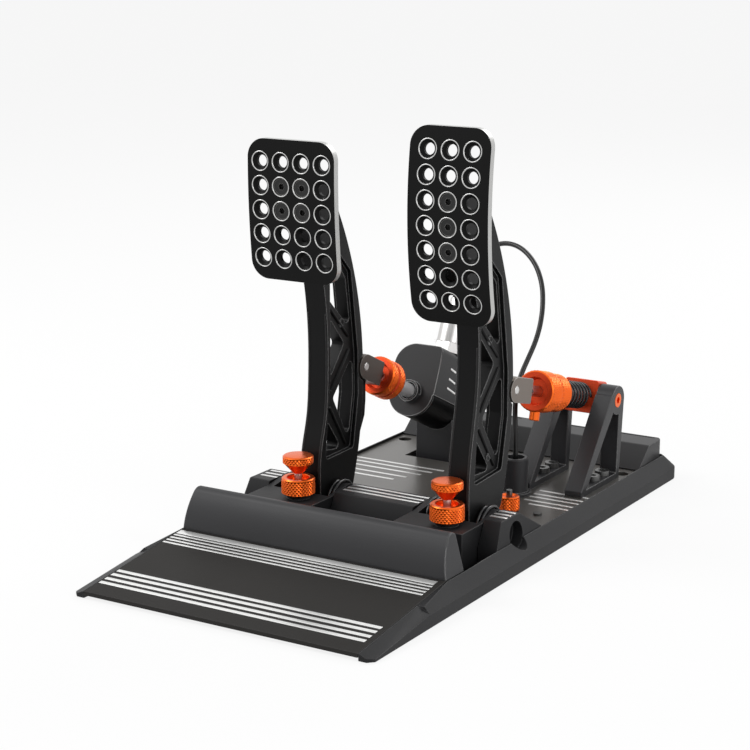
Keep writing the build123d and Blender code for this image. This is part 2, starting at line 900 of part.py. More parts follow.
# Outlines of the arms from the pivot, as shares of the arm's height: (rearward, up)
throttle_front_shares = (
    (-0.085, 0.108),
    (-0.071, 0.251),
    (-0.047, 0.370),
    (-0.036, 0.503),
    (-0.041, 0.600),
    (-0.062, 0.690),
)
throttle_rear_shares = ((0.109, 0.042), (0.170, 0.476), (0.023, 0.910))
throttle_flange_low_share = 0.770
throttle_window_shares = (
    ((-0.014, 0.624), (0.118, 0.503), (0.088, 0.700), (0.010, 0.775), (-0.012, 0.745)),
    ((-0.014, 0.570), (0.081, 0.468), (-0.014, 0.366)),
    ((0.010, 0.316), (0.128, 0.430), (0.133, 0.310), (0.105, 0.178)),
    ((-0.030, 0.275), (0.062, 0.158), (-0.047, 0.166)),
)
throttle_recess_shares = (
    (-0.024, 0.735),
    (0.008, 0.795),
    (0.096, 0.715),
    (0.140, 0.440),
    (0.142, 0.300),
    (0.110, 0.150),
    (-0.055, 0.142),
    (-0.040, 0.290),
    (-0.024, 0.380),
)
throttle_lobe_shares = ((0.140, 0.440), (0.140, 0.270), (0.190, 0.290))
brake_front_shares = (
    (-0.082, 0.110),
    (-0.050, 0.262),
    (-0.038, 0.380),
    (-0.037, 0.490),
    (-0.046, 0.600),
    (-0.066, 0.700),
)
brake_rear_shares = ((0.097, 0.027), (0.153, 0.445), (0.026, 0.862))
brake_flange_low_share = 0.840
brake_window_shares = (
    ((-0.014, 0.615), (0.105, 0.505), (0.080, 0.660), (0.025, 0.725), (-0.012, 0.705)),
    ((-0.014, 0.565), (0.072, 0.466), (-0.014, 0.366)),
    ((0.010, 0.313), (0.115, 0.420), (0.120, 0.310), (0.093, 0.172)),
    ((-0.030, 0.262), (0.053, 0.152), (-0.040, 0.165)),
)
brake_recess_shares = (
    (-0.024, 0.690),
    (0.024, 0.745),
    (0.090, 0.680),
    (0.126, 0.430),
    (0.128, 0.300),
    (0.100, 0.145),
    (-0.052, 0.142),
    (-0.038, 0.290),
    (-0.024, 0.380),
)
brake_lobe_shares = (
    (0.126, 0.440),
    (0.120, 0.145),
    (0.171, 0.179),
    (0.194, 0.221),
    (0.200, 0.268),
    (0.200, 0.330),
)


def share_points(shares, height):
    """Turns shares of an arm's height into (y, z) places about the pivot."""
    return [(pivot_y + rearward * height, pivot_height + up * height) for rearward, up in shares]


def face_plane(x, height, face_back, face_radius, face_apex):
    """Returns the plane on a pedal plate's front face at a height, its normal pointing out of the face."""
    lean = (height - face_apex) / face_radius
    back = face_back + face_radius * (1 - sqrt(1 - lean**2))
    return Plane((x, front + back, height), x_dir=(1, 0, 0), z_dir=(0, -sqrt(1 - lean**2), lean))


def pedal_arm(x, height, pad_back, front_shares, rear_shares, flange_low_share, windows, recess, lobe, pin):
    """Makes one arm: a webbed plate with a hub and toe below, a pin lug behind and a flange on top."""
    pad_y = front + pad_back
    top_z = pivot_height + height
    low_z = pivot_height + height * flange_low_share
    rear_low, rear_mid, rear_high = share_points(rear_shares, height)
    front_line = share_points(front_shares, height)
    with BuildSketch(Plane.YZ.offset(x)) as body:
        with BuildLine():
            Spline(*front_line, (pad_y, low_z), tangents=((0, 1), (-1, 1)))
            Polyline((pad_y, low_z), (pad_y, top_z), (pad_y + flange_depth, top_z))
            Spline((pad_y + flange_depth, top_z), rear_high, tangents=((1, 0), (1, -2)))
            ThreePointArc(rear_high, rear_mid, rear_low)
            Polyline(
                rear_low,
                (pivot_y + hub_radius, pivot_height),
                (pivot_y, pivot_height - hub_radius),
                (pivot_y - hub_radius, pivot_height - toe_bottom_drop),
                (pivot_y - toe_length, pivot_height - toe_bottom_drop),
                (pivot_y - toe_length, pivot_height - toe_top_drop),
                (pivot_y - toe_length / 2, pivot_height - toe_top_drop / 2),
                front_line[0],
            )
        make_face()
    extrude(body.sketch, amount=arm_thickness / 2, both=True)
    rod(across(x, pivot_back, pivot_height), -arm_thickness / 2, arm_thickness / 2, hub_radius)
    # Recess on both faces, then the windows right through the thin web that is left
    with BuildSketch(Plane.YZ.offset(x)) as pocket:
        Polygon(*share_points(recess, height), align=None)
        fillet(pocket.vertices(), window_radius)
    for side in (-1, 1):
        outer = pocket.sketch.moved(Location((side * (arm_thickness / 2 - web_recess), 0, 0)))
        extrude(outer, amount=side * arm_thickness, dir=(1, 0, 0), mode=Mode.SUBTRACT)
    for window in windows:
        with BuildSketch(Plane.YZ.offset(x)) as opening:
            Polygon(*share_points(window, height), align=None)
            fillet(opening.vertices(), window_radius)
        extrude(opening.sketch, amount=arm_thickness, both=True, mode=Mode.SUBTRACT)
    # Lug for the clevis, thinner than the arm, with room for the fork's ears
    pin_back, pin_height = pin
    for side in (-1, 1):
        ear_room = across(x, pin_back, pin_height)
        rod(ear_room, side * lug_thickness / 2, side * arm_thickness, lug_clearance_radius, Mode.SUBTRACT)
    with BuildSketch(Plane.YZ.offset(x)) as lug:
        Polygon(*share_points(lobe, height), align=None)
        with Locations((front + pin_back, pin_height)):
            Circle(fork_radius)
    extrude(lug.sketch, amount=lug_thickness / 2, both=True)
    bore = pin_radius + running_gap
    rod(across(x, pin_back, pin_height), -arm_thickness, arm_thickness, bore, Mode.SUBTRACT)
    axle_seat = axle_radius + snug_gap
    rod(across(x, pivot_back, pivot_height), -arm_thickness, arm_thickness, axle_seat, Mode.SUBTRACT)


def screw_bores(places, face):
    """Drills the arm's flange for the screws that hold the plate."""
    for screw_x, height in places:
        place = face_plane(screw_x, height, *face)
        rod(place, overrun, -plate_screw_length - overrun, plate_screw_radius + running_gap, Mode.SUBTRACT)


def plate_blank(x, width, low, high, face):
    """Makes a curved plate with rounded corners, its front face on the face's arc."""
    low_y, mid_y, high_y = (face_plane(x, z, *face).origin.Y for z in (low, (low + high) / 2, high))
    with BuildSketch(Plane.YZ.offset(x)) as profile:
        with BuildLine():
            ThreePointArc((low_y, low), (mid_y, (low + high) / 2), (high_y, high))
            Line((high_y, high), (high_y + plate_thickness, high))
            ThreePointArc(
                (high_y + plate_thickness, high),
                (mid_y + plate_thickness, (low + high) / 2),
                (low_y + plate_thickness, low),
            )
            Line((low_y + plate_thickness, low), (low_y, low))
        make_face()
    extrude(profile.sketch, amount=width / 2, both=True)


def plate_holes(x, columns, rows, top_row, face, screw_places):
    """Cuts the grid of countersunk holes, with a narrow bore where a screw goes."""
    sink_angle = 2 * degrees(atan2(hole_rim_radius - hole_radius, plate_thickness / 2))
    for row in range(rows):
        for column in range(columns):
            place = (x + (column - (columns - 1) / 2) * hole_pitch_x, top_row - row * hole_pitch_z)
            bore = plate_screw_radius + running_gap if place in screw_places else hole_radius
            with Locations(face_plane(*place, *face)):
                CounterSinkHole(bore, hole_rim_radius, 2 * plate_thickness, sink_angle)


def plate_screws(places, face):
    """Makes the flat-headed screws that hold a plate, one at each (x, height)."""
    sink_slope = (hole_rim_radius - hole_radius) / (plate_thickness / 2)
    head_depth = plate_thickness / 5
    neck_depth = (hole_rim_radius - plate_screw_radius) / sink_slope
    head_radius = hole_rim_radius - sink_slope * head_depth - running_gap
    for screw_x, height in places:
        place = face_plane(screw_x, height, *face)
        inward = Plane(place.origin, x_dir=place.x_dir, z_dir=-place.z_dir)
        turned(
            inward,
            [
                (0, head_depth),
                (head_radius, head_depth),
                (plate_screw_radius, neck_depth - running_gap),
                (plate_screw_radius, plate_screw_length),
                (0, plate_screw_length),
            ],
        )
        with BuildSketch(inward.offset(head_depth)) as socket:
            RegularPolygon(plate_socket_radius, 6)
        extrude(socket.sketch, amount=plate_screw_radius, mode=Mode.SUBTRACT)


# Brake pedal
brake_face = (brake_face_back, brake_face_radius, brake_face_apex)
brake_screw_places = [
    (brake_x + side * hole_pitch_x / 2, brake_top_row - row * hole_pitch_z)
    for side in (-1, 1)
    for row in (1, 2)
]
with BuildPart() as brake_arm:
    pedal_arm(
        brake_x,
        brake_arm_height,
        brake_pad_back,
        brake_front_shares,
        brake_rear_shares,
        brake_flange_low_share,
        brake_window_shares,
        brake_recess_shares,
        brake_lobe_shares,
        (brake_pin_back, brake_pin_height),
    )
    flange_low = pivot_height + brake_arm_height * brake_flange_low_share
    side_profile(
        [
            (brake_pad_back, flange_low),
            (brake_pad_back, pivot_height + brake_arm_height),
            (brake_pad_back + flange_depth, pivot_height + brake_arm_height),
            (brake_pad_back + flange_depth, flange_low),
        ],
        brake_x,
        brake_flange_width / 2,
    )
    screw_bores(brake_screw_places, brake_face)
write("brake_arm", brake_arm)

with BuildPart() as brake_plate:
    plate_blank(brake_x, brake_plate_width, brake_plate_low, brake_plate_high, brake_face)
    fillet(brake_plate.edges().filter_by(Axis.Y), plate_corner)
    flange_middle = pivot_height + brake_arm_height * (1 + brake_flange_low_share) / 2
    pad_half_tall = brake_arm_height * (1 - brake_flange_low_share) / 2
    side_profile(
        [
            (brake_face_back + plate_thickness / 2, flange_middle - pad_half_tall),
            (brake_face_back + plate_thickness / 2, flange_middle + pad_half_tall),
            (brake_pad_back, flange_middle + pad_half_tall),
            (brake_pad_back, flange_middle - pad_half_tall),
        ],
        brake_x,
        brake_flange_width / 2,
    )
    plate_holes(brake_x, brake_columns, brake_rows, brake_top_row, brake_face, brake_screw_places)
write("brake_plate", brake_plate)

with BuildPart() as brake_plate_screws:
    plate_screws(brake_screw_places, brake_face)
write("brake_plate_screws", brake_plate_screws)

# Throttle pedal
throttle_face = (throttle_face_back, throttle_face_radius, throttle_face_apex)
throttle_screw_places = [(throttle_x, throttle_top_row - row * hole_pitch_z) for row in (2, 3, 4)]
with BuildPart() as throttle_arm:
    pedal_arm(
        throttle_x,
        throttle_arm_height,
        throttle_pad_back,
        throttle_front_shares,
        throttle_rear_shares,
        throttle_flange_low_share,
        throttle_window_shares,
        throttle_recess_shares,
        throttle_lobe_shares,
        (throttle_pin_back, throttle_pin_height),
    )
    screw_bores(throttle_screw_places, throttle_face)
write("throttle_arm", throttle_arm)

with BuildPart() as throttle_plate:
    plate_blank(throttle_x, throttle_plate_width, throttle_plate_low, throttle_plate_high, throttle_face)
    fillet(throttle_plate.edges().filter_by(Axis.Y), plate_corner)
    pad_low = pivot_height + throttle_arm_height * throttle_flange_low_share
    side_profile(
        [
            (throttle_face_back + throttle_pad_depth, pad_low),
            (throttle_face_back + throttle_pad_depth, pivot_height + throttle_arm_height),
            (throttle_pad_back, pivot_height + throttle_arm_height),
            (throttle_pad_back, pad_low),
        ],
        throttle_x,
        arm_thickness / 2,
    )
    grid = (throttle_columns, throttle_rows, throttle_top_row)
    plate_holes(throttle_x, *grid, throttle_face, throttle_screw_places)
write("throttle_plate", throttle_plate)

with BuildPart() as throttle_plate_screws:
    plate_screws(throttle_screw_places, throttle_face)
write("throttle_plate_screws", throttle_plate_screws)

# Axles, fixed in the arms and turning in the blocks' bearings, and the throttle's angle sensor
for name, x in pedal_places:
    with BuildPart() as axle:
        rod(across(x, pivot_back, pivot_height), -block_left, block_right, axle_radius)
        chamfer(axle.edges(), axle_radius / 8)
    write(f"{name}_axle", axle)

magnet_length = bay_gap + beam_wall - magnet_gap
with BuildPart() as throttle_magnet:
    rod(across(throttle_x - block_left, pivot_back, pivot_height), 0, -magnet_length, magnet_radius)
write("throttle_magnet", throttle_magnet)

with BuildPart() as throttle_sensor:
    board_face = across(throttle_x - bay_left - beam_wall, pivot_back, pivot_height)
    with BuildSketch(board_face) as board_outline:
        RectangleRounded(angle_board_side, angle_board_side, angle_board_side / 9)
    extrude(board_outline.sketch, amount=-angle_board_thickness)
    with BuildSketch(board_face.offset(-angle_board_thickness)) as chip:
        Rectangle(angle_board_side / 3, angle_board_side / 3)
    extrude(chip.sketch, amount=-angle_board_thickness)
write("throttle_sensor", throttle_sensor)

# Push rod lines: each plane's normal runs from the pin to what the rod works on
throttle_line = line_plane(throttle_x, throttle_pin_back, throttle_pin_height, trunnion_back, trunnion_height)
brake_line = line_plane(brake_x, brake_pin_back, brake_pin_height, cylinder_back, cylinder_height)
throttle_reach = sqrt((trunnion_back - throttle_pin_back) ** 2 + (trunnion_height - throttle_pin_height) ** 2)
brake_reach = sqrt((cylinder_back - brake_pin_back) ** 2 + (cylinder_height - brake_pin_height) ** 2)
fork_half = lug_thickness / 2 + fork_gap + fork_ear

for name, line in (("brake", brake_line), ("throttle", throttle_line)):
    sideways = Plane(line.origin, x_dir=line.z_dir, z_dir=(1, 0, 0))
    with BuildPart() as clevis:
        with BuildSketch(sideways) as outline:
            Circle(fork_radius)
            with Locations((fork_length / 2, 0)):
                Rectangle(fork_length, 2 * fork_radius)
        extrude(outline.sketch, amount=fork_half, both=True)
        chamfer(clevis.edges().filter_by(Axis.X), fork_radius / 9)
        with BuildSketch(sideways) as slot:
            with Locations(((fork_slot_depth - fork_radius) / 2, 0)):
                Rectangle(fork_slot_depth + fork_radius + overrun, 3 * fork_radius)
        extrude(slot.sketch, amount=lug_thickness / 2 + fork_gap, both=True, mode=Mode.SUBTRACT)
        rod(sideways, -fork_half - overrun, fork_half + overrun, pin_radius + snug_gap, Mode.SUBTRACT)
        rod_bore = rod_radius + snug_gap
        rod(line, fork_length - thread_bite, fork_length + overrun, rod_bore, Mode.SUBTRACT)
    write(f"{name}_clevis", clevis)
    with BuildPart() as clevis_pin:
        rod(sideways, -fork_half, fork_half, pin_radius)
        chamfer(clevis_pin.edges(), pin_radius / 6)
    write(f"{name}_clevis_pin", clevis_pin)

# Throttle push rod, its two knurled nuts, spring and seat washer
front_nut_end = nut_start + front_nut_length
rear_nut_start = front_nut_end + nut_spacing
rear_nut_end = rear_nut_start + rear_nut_length
washer_start = rear_nut_end + seat_gap
spring_start = washer_start + seat_washer_length + seat_gap
spring_end = throttle_reach - trunnion_deep / 2 - seat_gap
with BuildPart() as throttle_push_rod:
    rod(throttle_line, fork_length - thread_bite, throttle_reach + trunnion_deep / 2 + rod_tail, rod_radius)
    chamfer(throttle_push_rod.edges(), rod_radius / 6)
write("throttle_push_rod", throttle_push_rod)
nut_rim = nut_radius / 12
nut_bore = rod_radius + running_gap
set_screw_line = throttle_line.offset(nut_start + nut_dish_depth)
set_screw_plane = Plane(
    set_screw_line.origin + set_screw_line.y_dir * (nut_radius + set_screw_reach),
    x_dir=(1, 0, 0),
    z_dir=-set_screw_line.y_dir,
)
with BuildPart() as throttle_front_nut:
    turned(
        throttle_line,
        [
            (nut_bore, nut_start + nut_dish_depth),
            (nut_dish_radius - nut_rim, nut_start + nut_dish_depth),
            (nut_dish_radius, nut_start),
            (nut_radius - nut_rim, nut_start),
            (nut_radius, nut_start + nut_rim),
            (nut_radius, front_nut_end - nut_rim),
            (nut_radius - nut_rim, front_nut_end),
            (nut_bore, front_nut_end),
        ],
    )
    rod(set_screw_plane, 0, set_screw_length, set_screw_radius + snug_gap, Mode.SUBTRACT)
write("throttle_front_nut", throttle_front_nut)
with BuildPart() as throttle_set_screw:
    rod(set_screw_plane, 0, set_screw_length, set_screw_radius)
    chamfer(throttle_set_screw.edges(), set_screw_radius / 6)
write("throttle_set_screw", throttle_set_screw)
with BuildPart() as throttle_rear_nut:
    turned(
        throttle_line,
        [
            (nut_bore, rear_nut_start),
            (nut_radius - 2 * nut_rim, rear_nut_start),
            (nut_radius - nut_rim, rear_nut_start + nut_rim),
            (nut_radius - nut_rim, rear_nut_end - nut_rim),
            (nut_radius - 2 * nut_rim, rear_nut_end),
            (nut_bore, rear_nut_end),
        ],
    )
write("throttle_rear_nut", throttle_rear_nut)
with BuildPart() as throttle_spring_seat:
    rod(throttle_line, washer_start, washer_start + seat_washer_length, seat_washer_radius)
    rod(throttle_line, washer_start, washer_start + seat_washer_length, nut_bore, Mode.SUBTRACT)
write("throttle_spring_seat", throttle_spring_seat)
coil_pitch = (spring_end - spring_start - coil_wire) / coil_turns
with BuildPart() as throttle_spring:
    coil(
        throttle_line.offset(spring_start + coil_wire / 2),
        coil_inner_radius + coil_wire / 2,
        coil_wire / 2,
        coil_pitch,
        coil_turns,
    )
write("throttle_spring", throttle_spring)
print("throttle spring least gap to itself", round(coil_pitch - coil_wire, 2))

# Throttle trunnion between its two brackets
trunnion_line = throttle_line.offset(throttle_reach)
with BuildPart() as throttle_trunnion:
    with BuildSketch(trunnion_line) as face:
        RectangleRounded(trunnion_width, trunnion_tall, trunnion_deep / 8)
    extrude(face.sketch, amount=trunnion_deep / 2, both=True)
    rod(trunnion_line, -trunnion_deep, trunnion_deep, trunnion_bore, Mode.SUBTRACT)
    for side in (-1, 1):
        bolt_line = across(throttle_x + side * trunnion_width / 2, trunnion_back, trunnion_height)
        rod(
            bolt_line,
            side * overrun,
            -side * (trunnion_bolt_bite + seat_gap),
            trunnion_bolt_radius + running_gap,
            Mode.SUBTRACT,
        )
write("throttle_trunnion", throttle_trunnion)

bracket_foot_top = deck_top + bracket_foot
for name, side in (("left", -1), ("right", 1)):
    x = throttle_x + side * bracket_offset
    with BuildPart() as bracket:
        side_profile(
            [
                (bracket_front_back, deck_top),
                (bracket_front_back, bracket_foot_top),
                (trunnion_back - bracket_boss_radius, trunnion_height + bracket_strap),
                (trunnion_back + bracket_boss_radius, trunnion_height),
                (bracket_rear_back, bracket_foot_top),
                (bracket_rear_back, deck_top),
            ],
            x,
            bracket_width / 2,
        )
        side_profile(
            [
                (bracket_front_back + bracket_web, bracket_foot_top),
                (trunnion_back - bracket_boss_radius / 2, trunnion_height - bracket_strap),
                (trunnion_back + bracket_boss_radius - bracket_web, trunnion_height - 2 * bracket_strap),
                (bracket_rear_back - bracket_strap, bracket_foot_top),
            ],
            x,
            bracket_width / 2,
            Mode.SUBTRACT,
        )
        place = across(x, trunnion_back, trunnion_height)
        rod(place, -bracket_width / 2, bracket_width / 2, bracket_boss_radius)
        rod(place, -bracket_width, bracket_width, trunnion_bolt_radius + snug_gap, Mode.SUBTRACT)
        outer_face = side * bracket_width / 2
        sunk = outer_face - side * bolt_head_height
        rod(place, sunk, outer_face + side * overrun, bolt_head_radius + running_gap, Mode.SUBTRACT)
        for back in bracket_bolt_backs:
            bolt_bore = pin_radius + running_gap
            rod(upright(x, back, deck_top), -overrun, bracket_foot + overrun, bolt_bore, Mode.SUBTRACT)
    write(f"throttle_bracket_{name}", bracket)

with BuildPart() as trunnion_bolts:
    for side in (-1, 1):
        head_top = side * (bracket_offset + bracket_width / 2)
        head_seat = head_top - side * bolt_head_height
        inner_end = side * (trunnion_width / 2 - trunnion_bolt_bite)
        place = across(throttle_x, trunnion_back, trunnion_height)
        rod(place, inner_end, head_seat, trunnion_bolt_radius)
        rod(place, head_seat, head_top, bolt_head_radius)
        with BuildSketch(place.offset(head_top)) as socket:
            RegularPolygon(bolt_head_radius / 2, 6)
        extrude(socket.sketch, amount=-side * bolt_socket_depth, mode=Mode.SUBTRACT)
write("trunnion_bolts", trunnion_bolts)

# Lock nuts against the forks
for name, line in (("brake", brake_line), ("throttle", throttle_line)):
    with BuildPart() as lock_nut:
        with BuildSketch(line.offset(fork_length)) as hexagon:
            RegularPolygon(lock_nut_radius, 6)
            Circle(nut_bore, mode=Mode.SUBTRACT)
        extrude(hexagon.sketch, amount=lock_nut_length)
    write(f"{name}_lock_nut", lock_nut)

# Brake push rod, its preload knob and the ball that works in the piston's cup
mouth = brake_reach
cup_centre = mouth + piston_start + rod_ball_radius + seat_gap
with BuildPart() as brake_push_rod:
    rod(brake_line, fork_length - thread_bite, cup_centre, rod_radius)
    rod(brake_line, knob_start + knob_length + seat_gap, cup_centre, rod_sleeve_radius)
    with Locations(brake_line.offset(cup_centre).origin):
        Sphere(rod_ball_radius)
write("brake_push_rod", brake_push_rod)
knob_rim = knob_radius / 12
with BuildPart() as brake_preload_knob:
    turned(
        brake_line,
        [
            (nut_bore, knob_start + nut_dish_depth),
            (nut_dish_radius - knob_rim, knob_start + nut_dish_depth),
            (nut_dish_radius, knob_start),
            (knob_radius - knob_rim, knob_start),
            (knob_radius, knob_start + knob_rim),
            (knob_radius, knob_start + knob_length / 2 - knob_rim),
            (knob_radius - knob_rim, knob_start + knob_length / 2),
            (knob_radius, knob_start + knob_length / 2 + knob_rim),
            (knob_radius, knob_start + knob_length - knob_rim),
            (knob_radius - knob_rim, knob_start + knob_length),
            (nut_bore, knob_start + knob_length),
        ],
    )
write("brake_preload_knob", brake_preload_knob)

# Brake cylinder
piston_front = mouth + piston_start
piston_rear = piston_front + piston_length
floating_front = piston_rear + fluid_chamber
floating_rear = floating_front + floating_piston_length
plug_front = mouth + barrel_length - cap_plug
port_at = piston_rear + fluid_chamber - 2 * fluid_port_radius
shell_top = Plane(
    brake_line.offset(mouth + sensor_along).origin + (sensor_offset, 0, 0) - brake_line.y_dir * shell_rise,
    x_dir=(1, 0, 0),
    z_dir=-brake_line.y_dir,
)
port_plane = Plane(
    brake_line.offset(port_at).origin + (sensor_offset, 0, 0) - brake_line.y_dir * barrel_radius,
    x_dir=(1, 0, 0),
    z_dir=-brake_line.y_dir,
)
port_rise = (shell_rise - barrel_radius) / 2
with BuildPart() as cylinder_barrel:
    rod(brake_line, mouth, mouth + barrel_length, barrel_radius)
    rod(brake_line, mouth - overrun, mouth + barrel_length + overrun, barrel_bore, Mode.SUBTRACT)
    rod(port_plane, -barrel_radius / 2, barrel_radius, fluid_port_radius, Mode.SUBTRACT)
    chamfer(cylinder_barrel.edges().group_by(SortBy.LENGTH)[-1], barrel_edge)
write("cylinder_barrel", cylinder_barrel)
with BuildPart() as cylinder_cap:
    rod(brake_line, plug_front, mouth + barrel_length, piston_radius)
    rod(brake_line, mouth + barrel_length, mouth + barrel_length + cap_length, cap_radius)
    with BuildSketch(brake_line.offset(mouth + barrel_length + cap_length)) as socket:
        RegularPolygon(cap_radius / 3, 6)
    extrude(socket.sketch, amount=-cap_length, mode=Mode.SUBTRACT)
write("cylinder_cap", cylinder_cap)

# Manifold cover that stands on the barrel and takes the pressure sensor
with BuildPart() as cylinder_cover:
    with BuildSketch(brake_line.offset(mouth - shell_face)) as section:
        Polygon(
            (-shell_left, 0),
            (-shell_left, -shell_rise),
            (shell_right, -shell_rise),
            (shell_right, 0),
            align=None,
        )
        fillet(section.vertices().group_by(Axis.Y)[0].sort_by(Axis.X)[0], shell_shoulder)
        fillet(section.vertices().group_by(Axis.Y)[0].sort_by(Axis.X)[-1], shell_corner)
    extrude(section.sketch, amount=shell_face + shell_length)
    barrel_way = barrel_radius + snug_gap
    rod(brake_line, mouth - shell_face, mouth, barrel_way)
    boss_front = mouth - shell_face - shell_boss_length
    rod(brake_line, boss_front, mouth, shell_boss_radius)
    rod(brake_line, mouth, mouth + shell_length + overrun, barrel_way, Mode.SUBTRACT)
    rod(brake_line, boss_front - overrun, mouth + overrun, shell_bore, Mode.SUBTRACT)
    rod(shell_top, overrun, -port_rise, sensor_thread_radius + snug_gap, Mode.SUBTRACT)
    rod(port_plane, -overrun, port_rise, fluid_port_radius, Mode.SUBTRACT)
    gallery = Plane(shell_top.origin - shell_top.z_dir * port_rise, x_dir=(1, 0, 0), z_dir=brake_line.z_dir)
    rod(gallery, 0, port_at - mouth - sensor_along, fluid_port_radius, Mode.SUBTRACT)
write("cylinder_cover", cylinder_cover)

# Cradle that carries the barrel
with BuildPart() as cylinder_cradle:
    cradle_front_top = cylinder_height - line_slope * cradle_lead - cradle_drop
    side_profile(
        [
            (cradle_front_back, floor_thickness),
            (cradle_front_back, cradle_front_top),
            (cradle_rear_back, cradle_front_top - line_slope * cradle_length),
            (cradle_rear_back, floor_thickness),
        ],
        brake_x,
        cradle_width / 2,
    )
    rod(brake_line, 0, mouth + barrel_length + cap_length, barrel_radius + snug_gap, Mode.SUBTRACT)
write("cylinder_cradle", cylinder_cradle)

# Pistons, their seals and the elastomer stack
seal_floor = piston_radius - piston_seal_depth
seal_starts = (
    piston_front + piston_length * front_seal_share,
    piston_rear - 2 * piston_seal_width,
    floating_front + (floating_piston_length - piston_seal_width) / 2,
)
with BuildPart() as brake_pistons:
    rod(brake_line, piston_front, piston_rear, piston_radius)
    rod(brake_line, floating_front, floating_rear, piston_radius)
    rod(brake_line, piston_front - overrun, cup_centre, rod_ball_radius + ball_gap, Mode.SUBTRACT)
    with Locations(brake_line.offset(cup_centre).origin):
        Sphere(rod_ball_radius + ball_gap, mode=Mode.SUBTRACT)
    for start in seal_starts:
        turned(
            brake_line,
            [
                (seal_floor, start),
                (seal_floor, start + piston_seal_width),
                (piston_radius + overrun, start + piston_seal_width),
                (piston_radius + overrun, start),
            ],
            Mode.SUBTRACT,
        )
write("brake_pistons", brake_pistons)
with BuildPart() as piston_seals:
    for start in seal_starts:
        turned(
            brake_line,
            [
                (seal_floor, start),
                (seal_floor, start + piston_seal_width),
                (piston_radius, start + piston_seal_width),
                (piston_radius, start),
            ],
        )
write("piston_seals", piston_seals)
stack_front = floating_rear + seat_gap
stack_length = plug_front - seat_gap - stack_front
with BuildPart() as brake_elastomers:
    puck_length = stack_length / elastomer_count
    outline = [(0, stack_front)]
    for puck in range(elastomer_count):
        begin = stack_front + puck * puck_length
        outline += [
            (elastomer_waist_radius, begin),
            (barrel_bore - overrun, begin + puck_length / 4),
            (barrel_bore - overrun, begin + puck_length * 3 / 4),
            (elastomer_waist_radius, begin + puck_length),
        ]
    outline.append((0, stack_front + stack_length))
    turned(brake_line, outline)
write("brake_elastomers", brake_elastomers)

# Pressure sensor on the cover
with BuildPart() as pressure_sensor:
    rod(shell_top, 0, -sensor_thread_length, sensor_thread_radius)
    with BuildSketch(shell_top) as hexagon:
        RegularPolygon(sensor_hex_radius, 6)
    extrude(hexagon.sketch, amount=sensor_hex_length)
    rod(shell_top, sensor_hex_length, sensor_length, sensor_radius)
    chamfer(pressure_sensor.faces().sort_by(Axis.Z)[-1].edges(), sensor_radius / 8)
    rod(shell_top, sensor_length, sensor_length + sensor_cap_length, sensor_cap_radius)
write("pressure_sensor", pressure_sensor)

# Cable from the sensor to the hollow post
cable_route = [
    shell_top.offset(sensor_length + sensor_cap_length).origin,
    shell_top.offset(sensor_length + sensor_cap_length + cable_lead).origin,
] + [(post_x + right, front + post_back + back, height) for right, back, height in cable_places]
runs = [Vector(*b) - Vector(*a) for a, b in zip(cable_route, cable_route[1:])]
bends = [first.get_angle(second) for first, second in zip(runs, runs[1:])]
shorter = [min(first.length, second.length) for first, second in zip(runs, runs[1:])]
radii = [cable_arc_share * run / tan(radians(bend / 2)) for run, bend in zip(shorter, bends)]
with BuildPart() as sensor_cable:
    with BuildLine() as cable_line:
        FilletPolyline(*cable_route, radius=radii)
    with BuildSketch(Plane(cable_line.wire() @ 0, z_dir=cable_line.wire() % 0)) as section:
        Circle(cable_radius)
    sweep(section.sketch, path=cable_line.wire())
write("sensor_cable", sensor_cable)
print("cable radii", [round(radius, 1) for radius in radii])
print("cable length", round(cable_line.wire().length, 1))
section_area = pi * cable_radius**2
print("cable volume", round(sensor_cable.part.volume), "of", round(section_area * cable_line.wire().length))

# Hollow post that takes the cable down through the deck
with BuildPart() as cable_post:
    post_foot = upright(post_x, post_back, deck_top)
    rod(post_foot, 0, post_flange, post_flange_radius)
    rod(post_foot, 0, post_top - deck_top, post_radius)
    rod(post_foot, -overrun, post_top - deck_top + overrun, post_bore, Mode.SUBTRACT)
    chamfer(cable_post.edges().group_by(Axis.Z)[-1].sort_by(SortBy.LENGTH)[-1], post_flange / 3)
write("cable_post", cable_post)
with BuildPart() as cable_grommet:
    rod(upright(post_x, post_back, post_top - grommet_length), 0, -grommet_length, post_bore)
write("cable_grommet", cable_grommet)

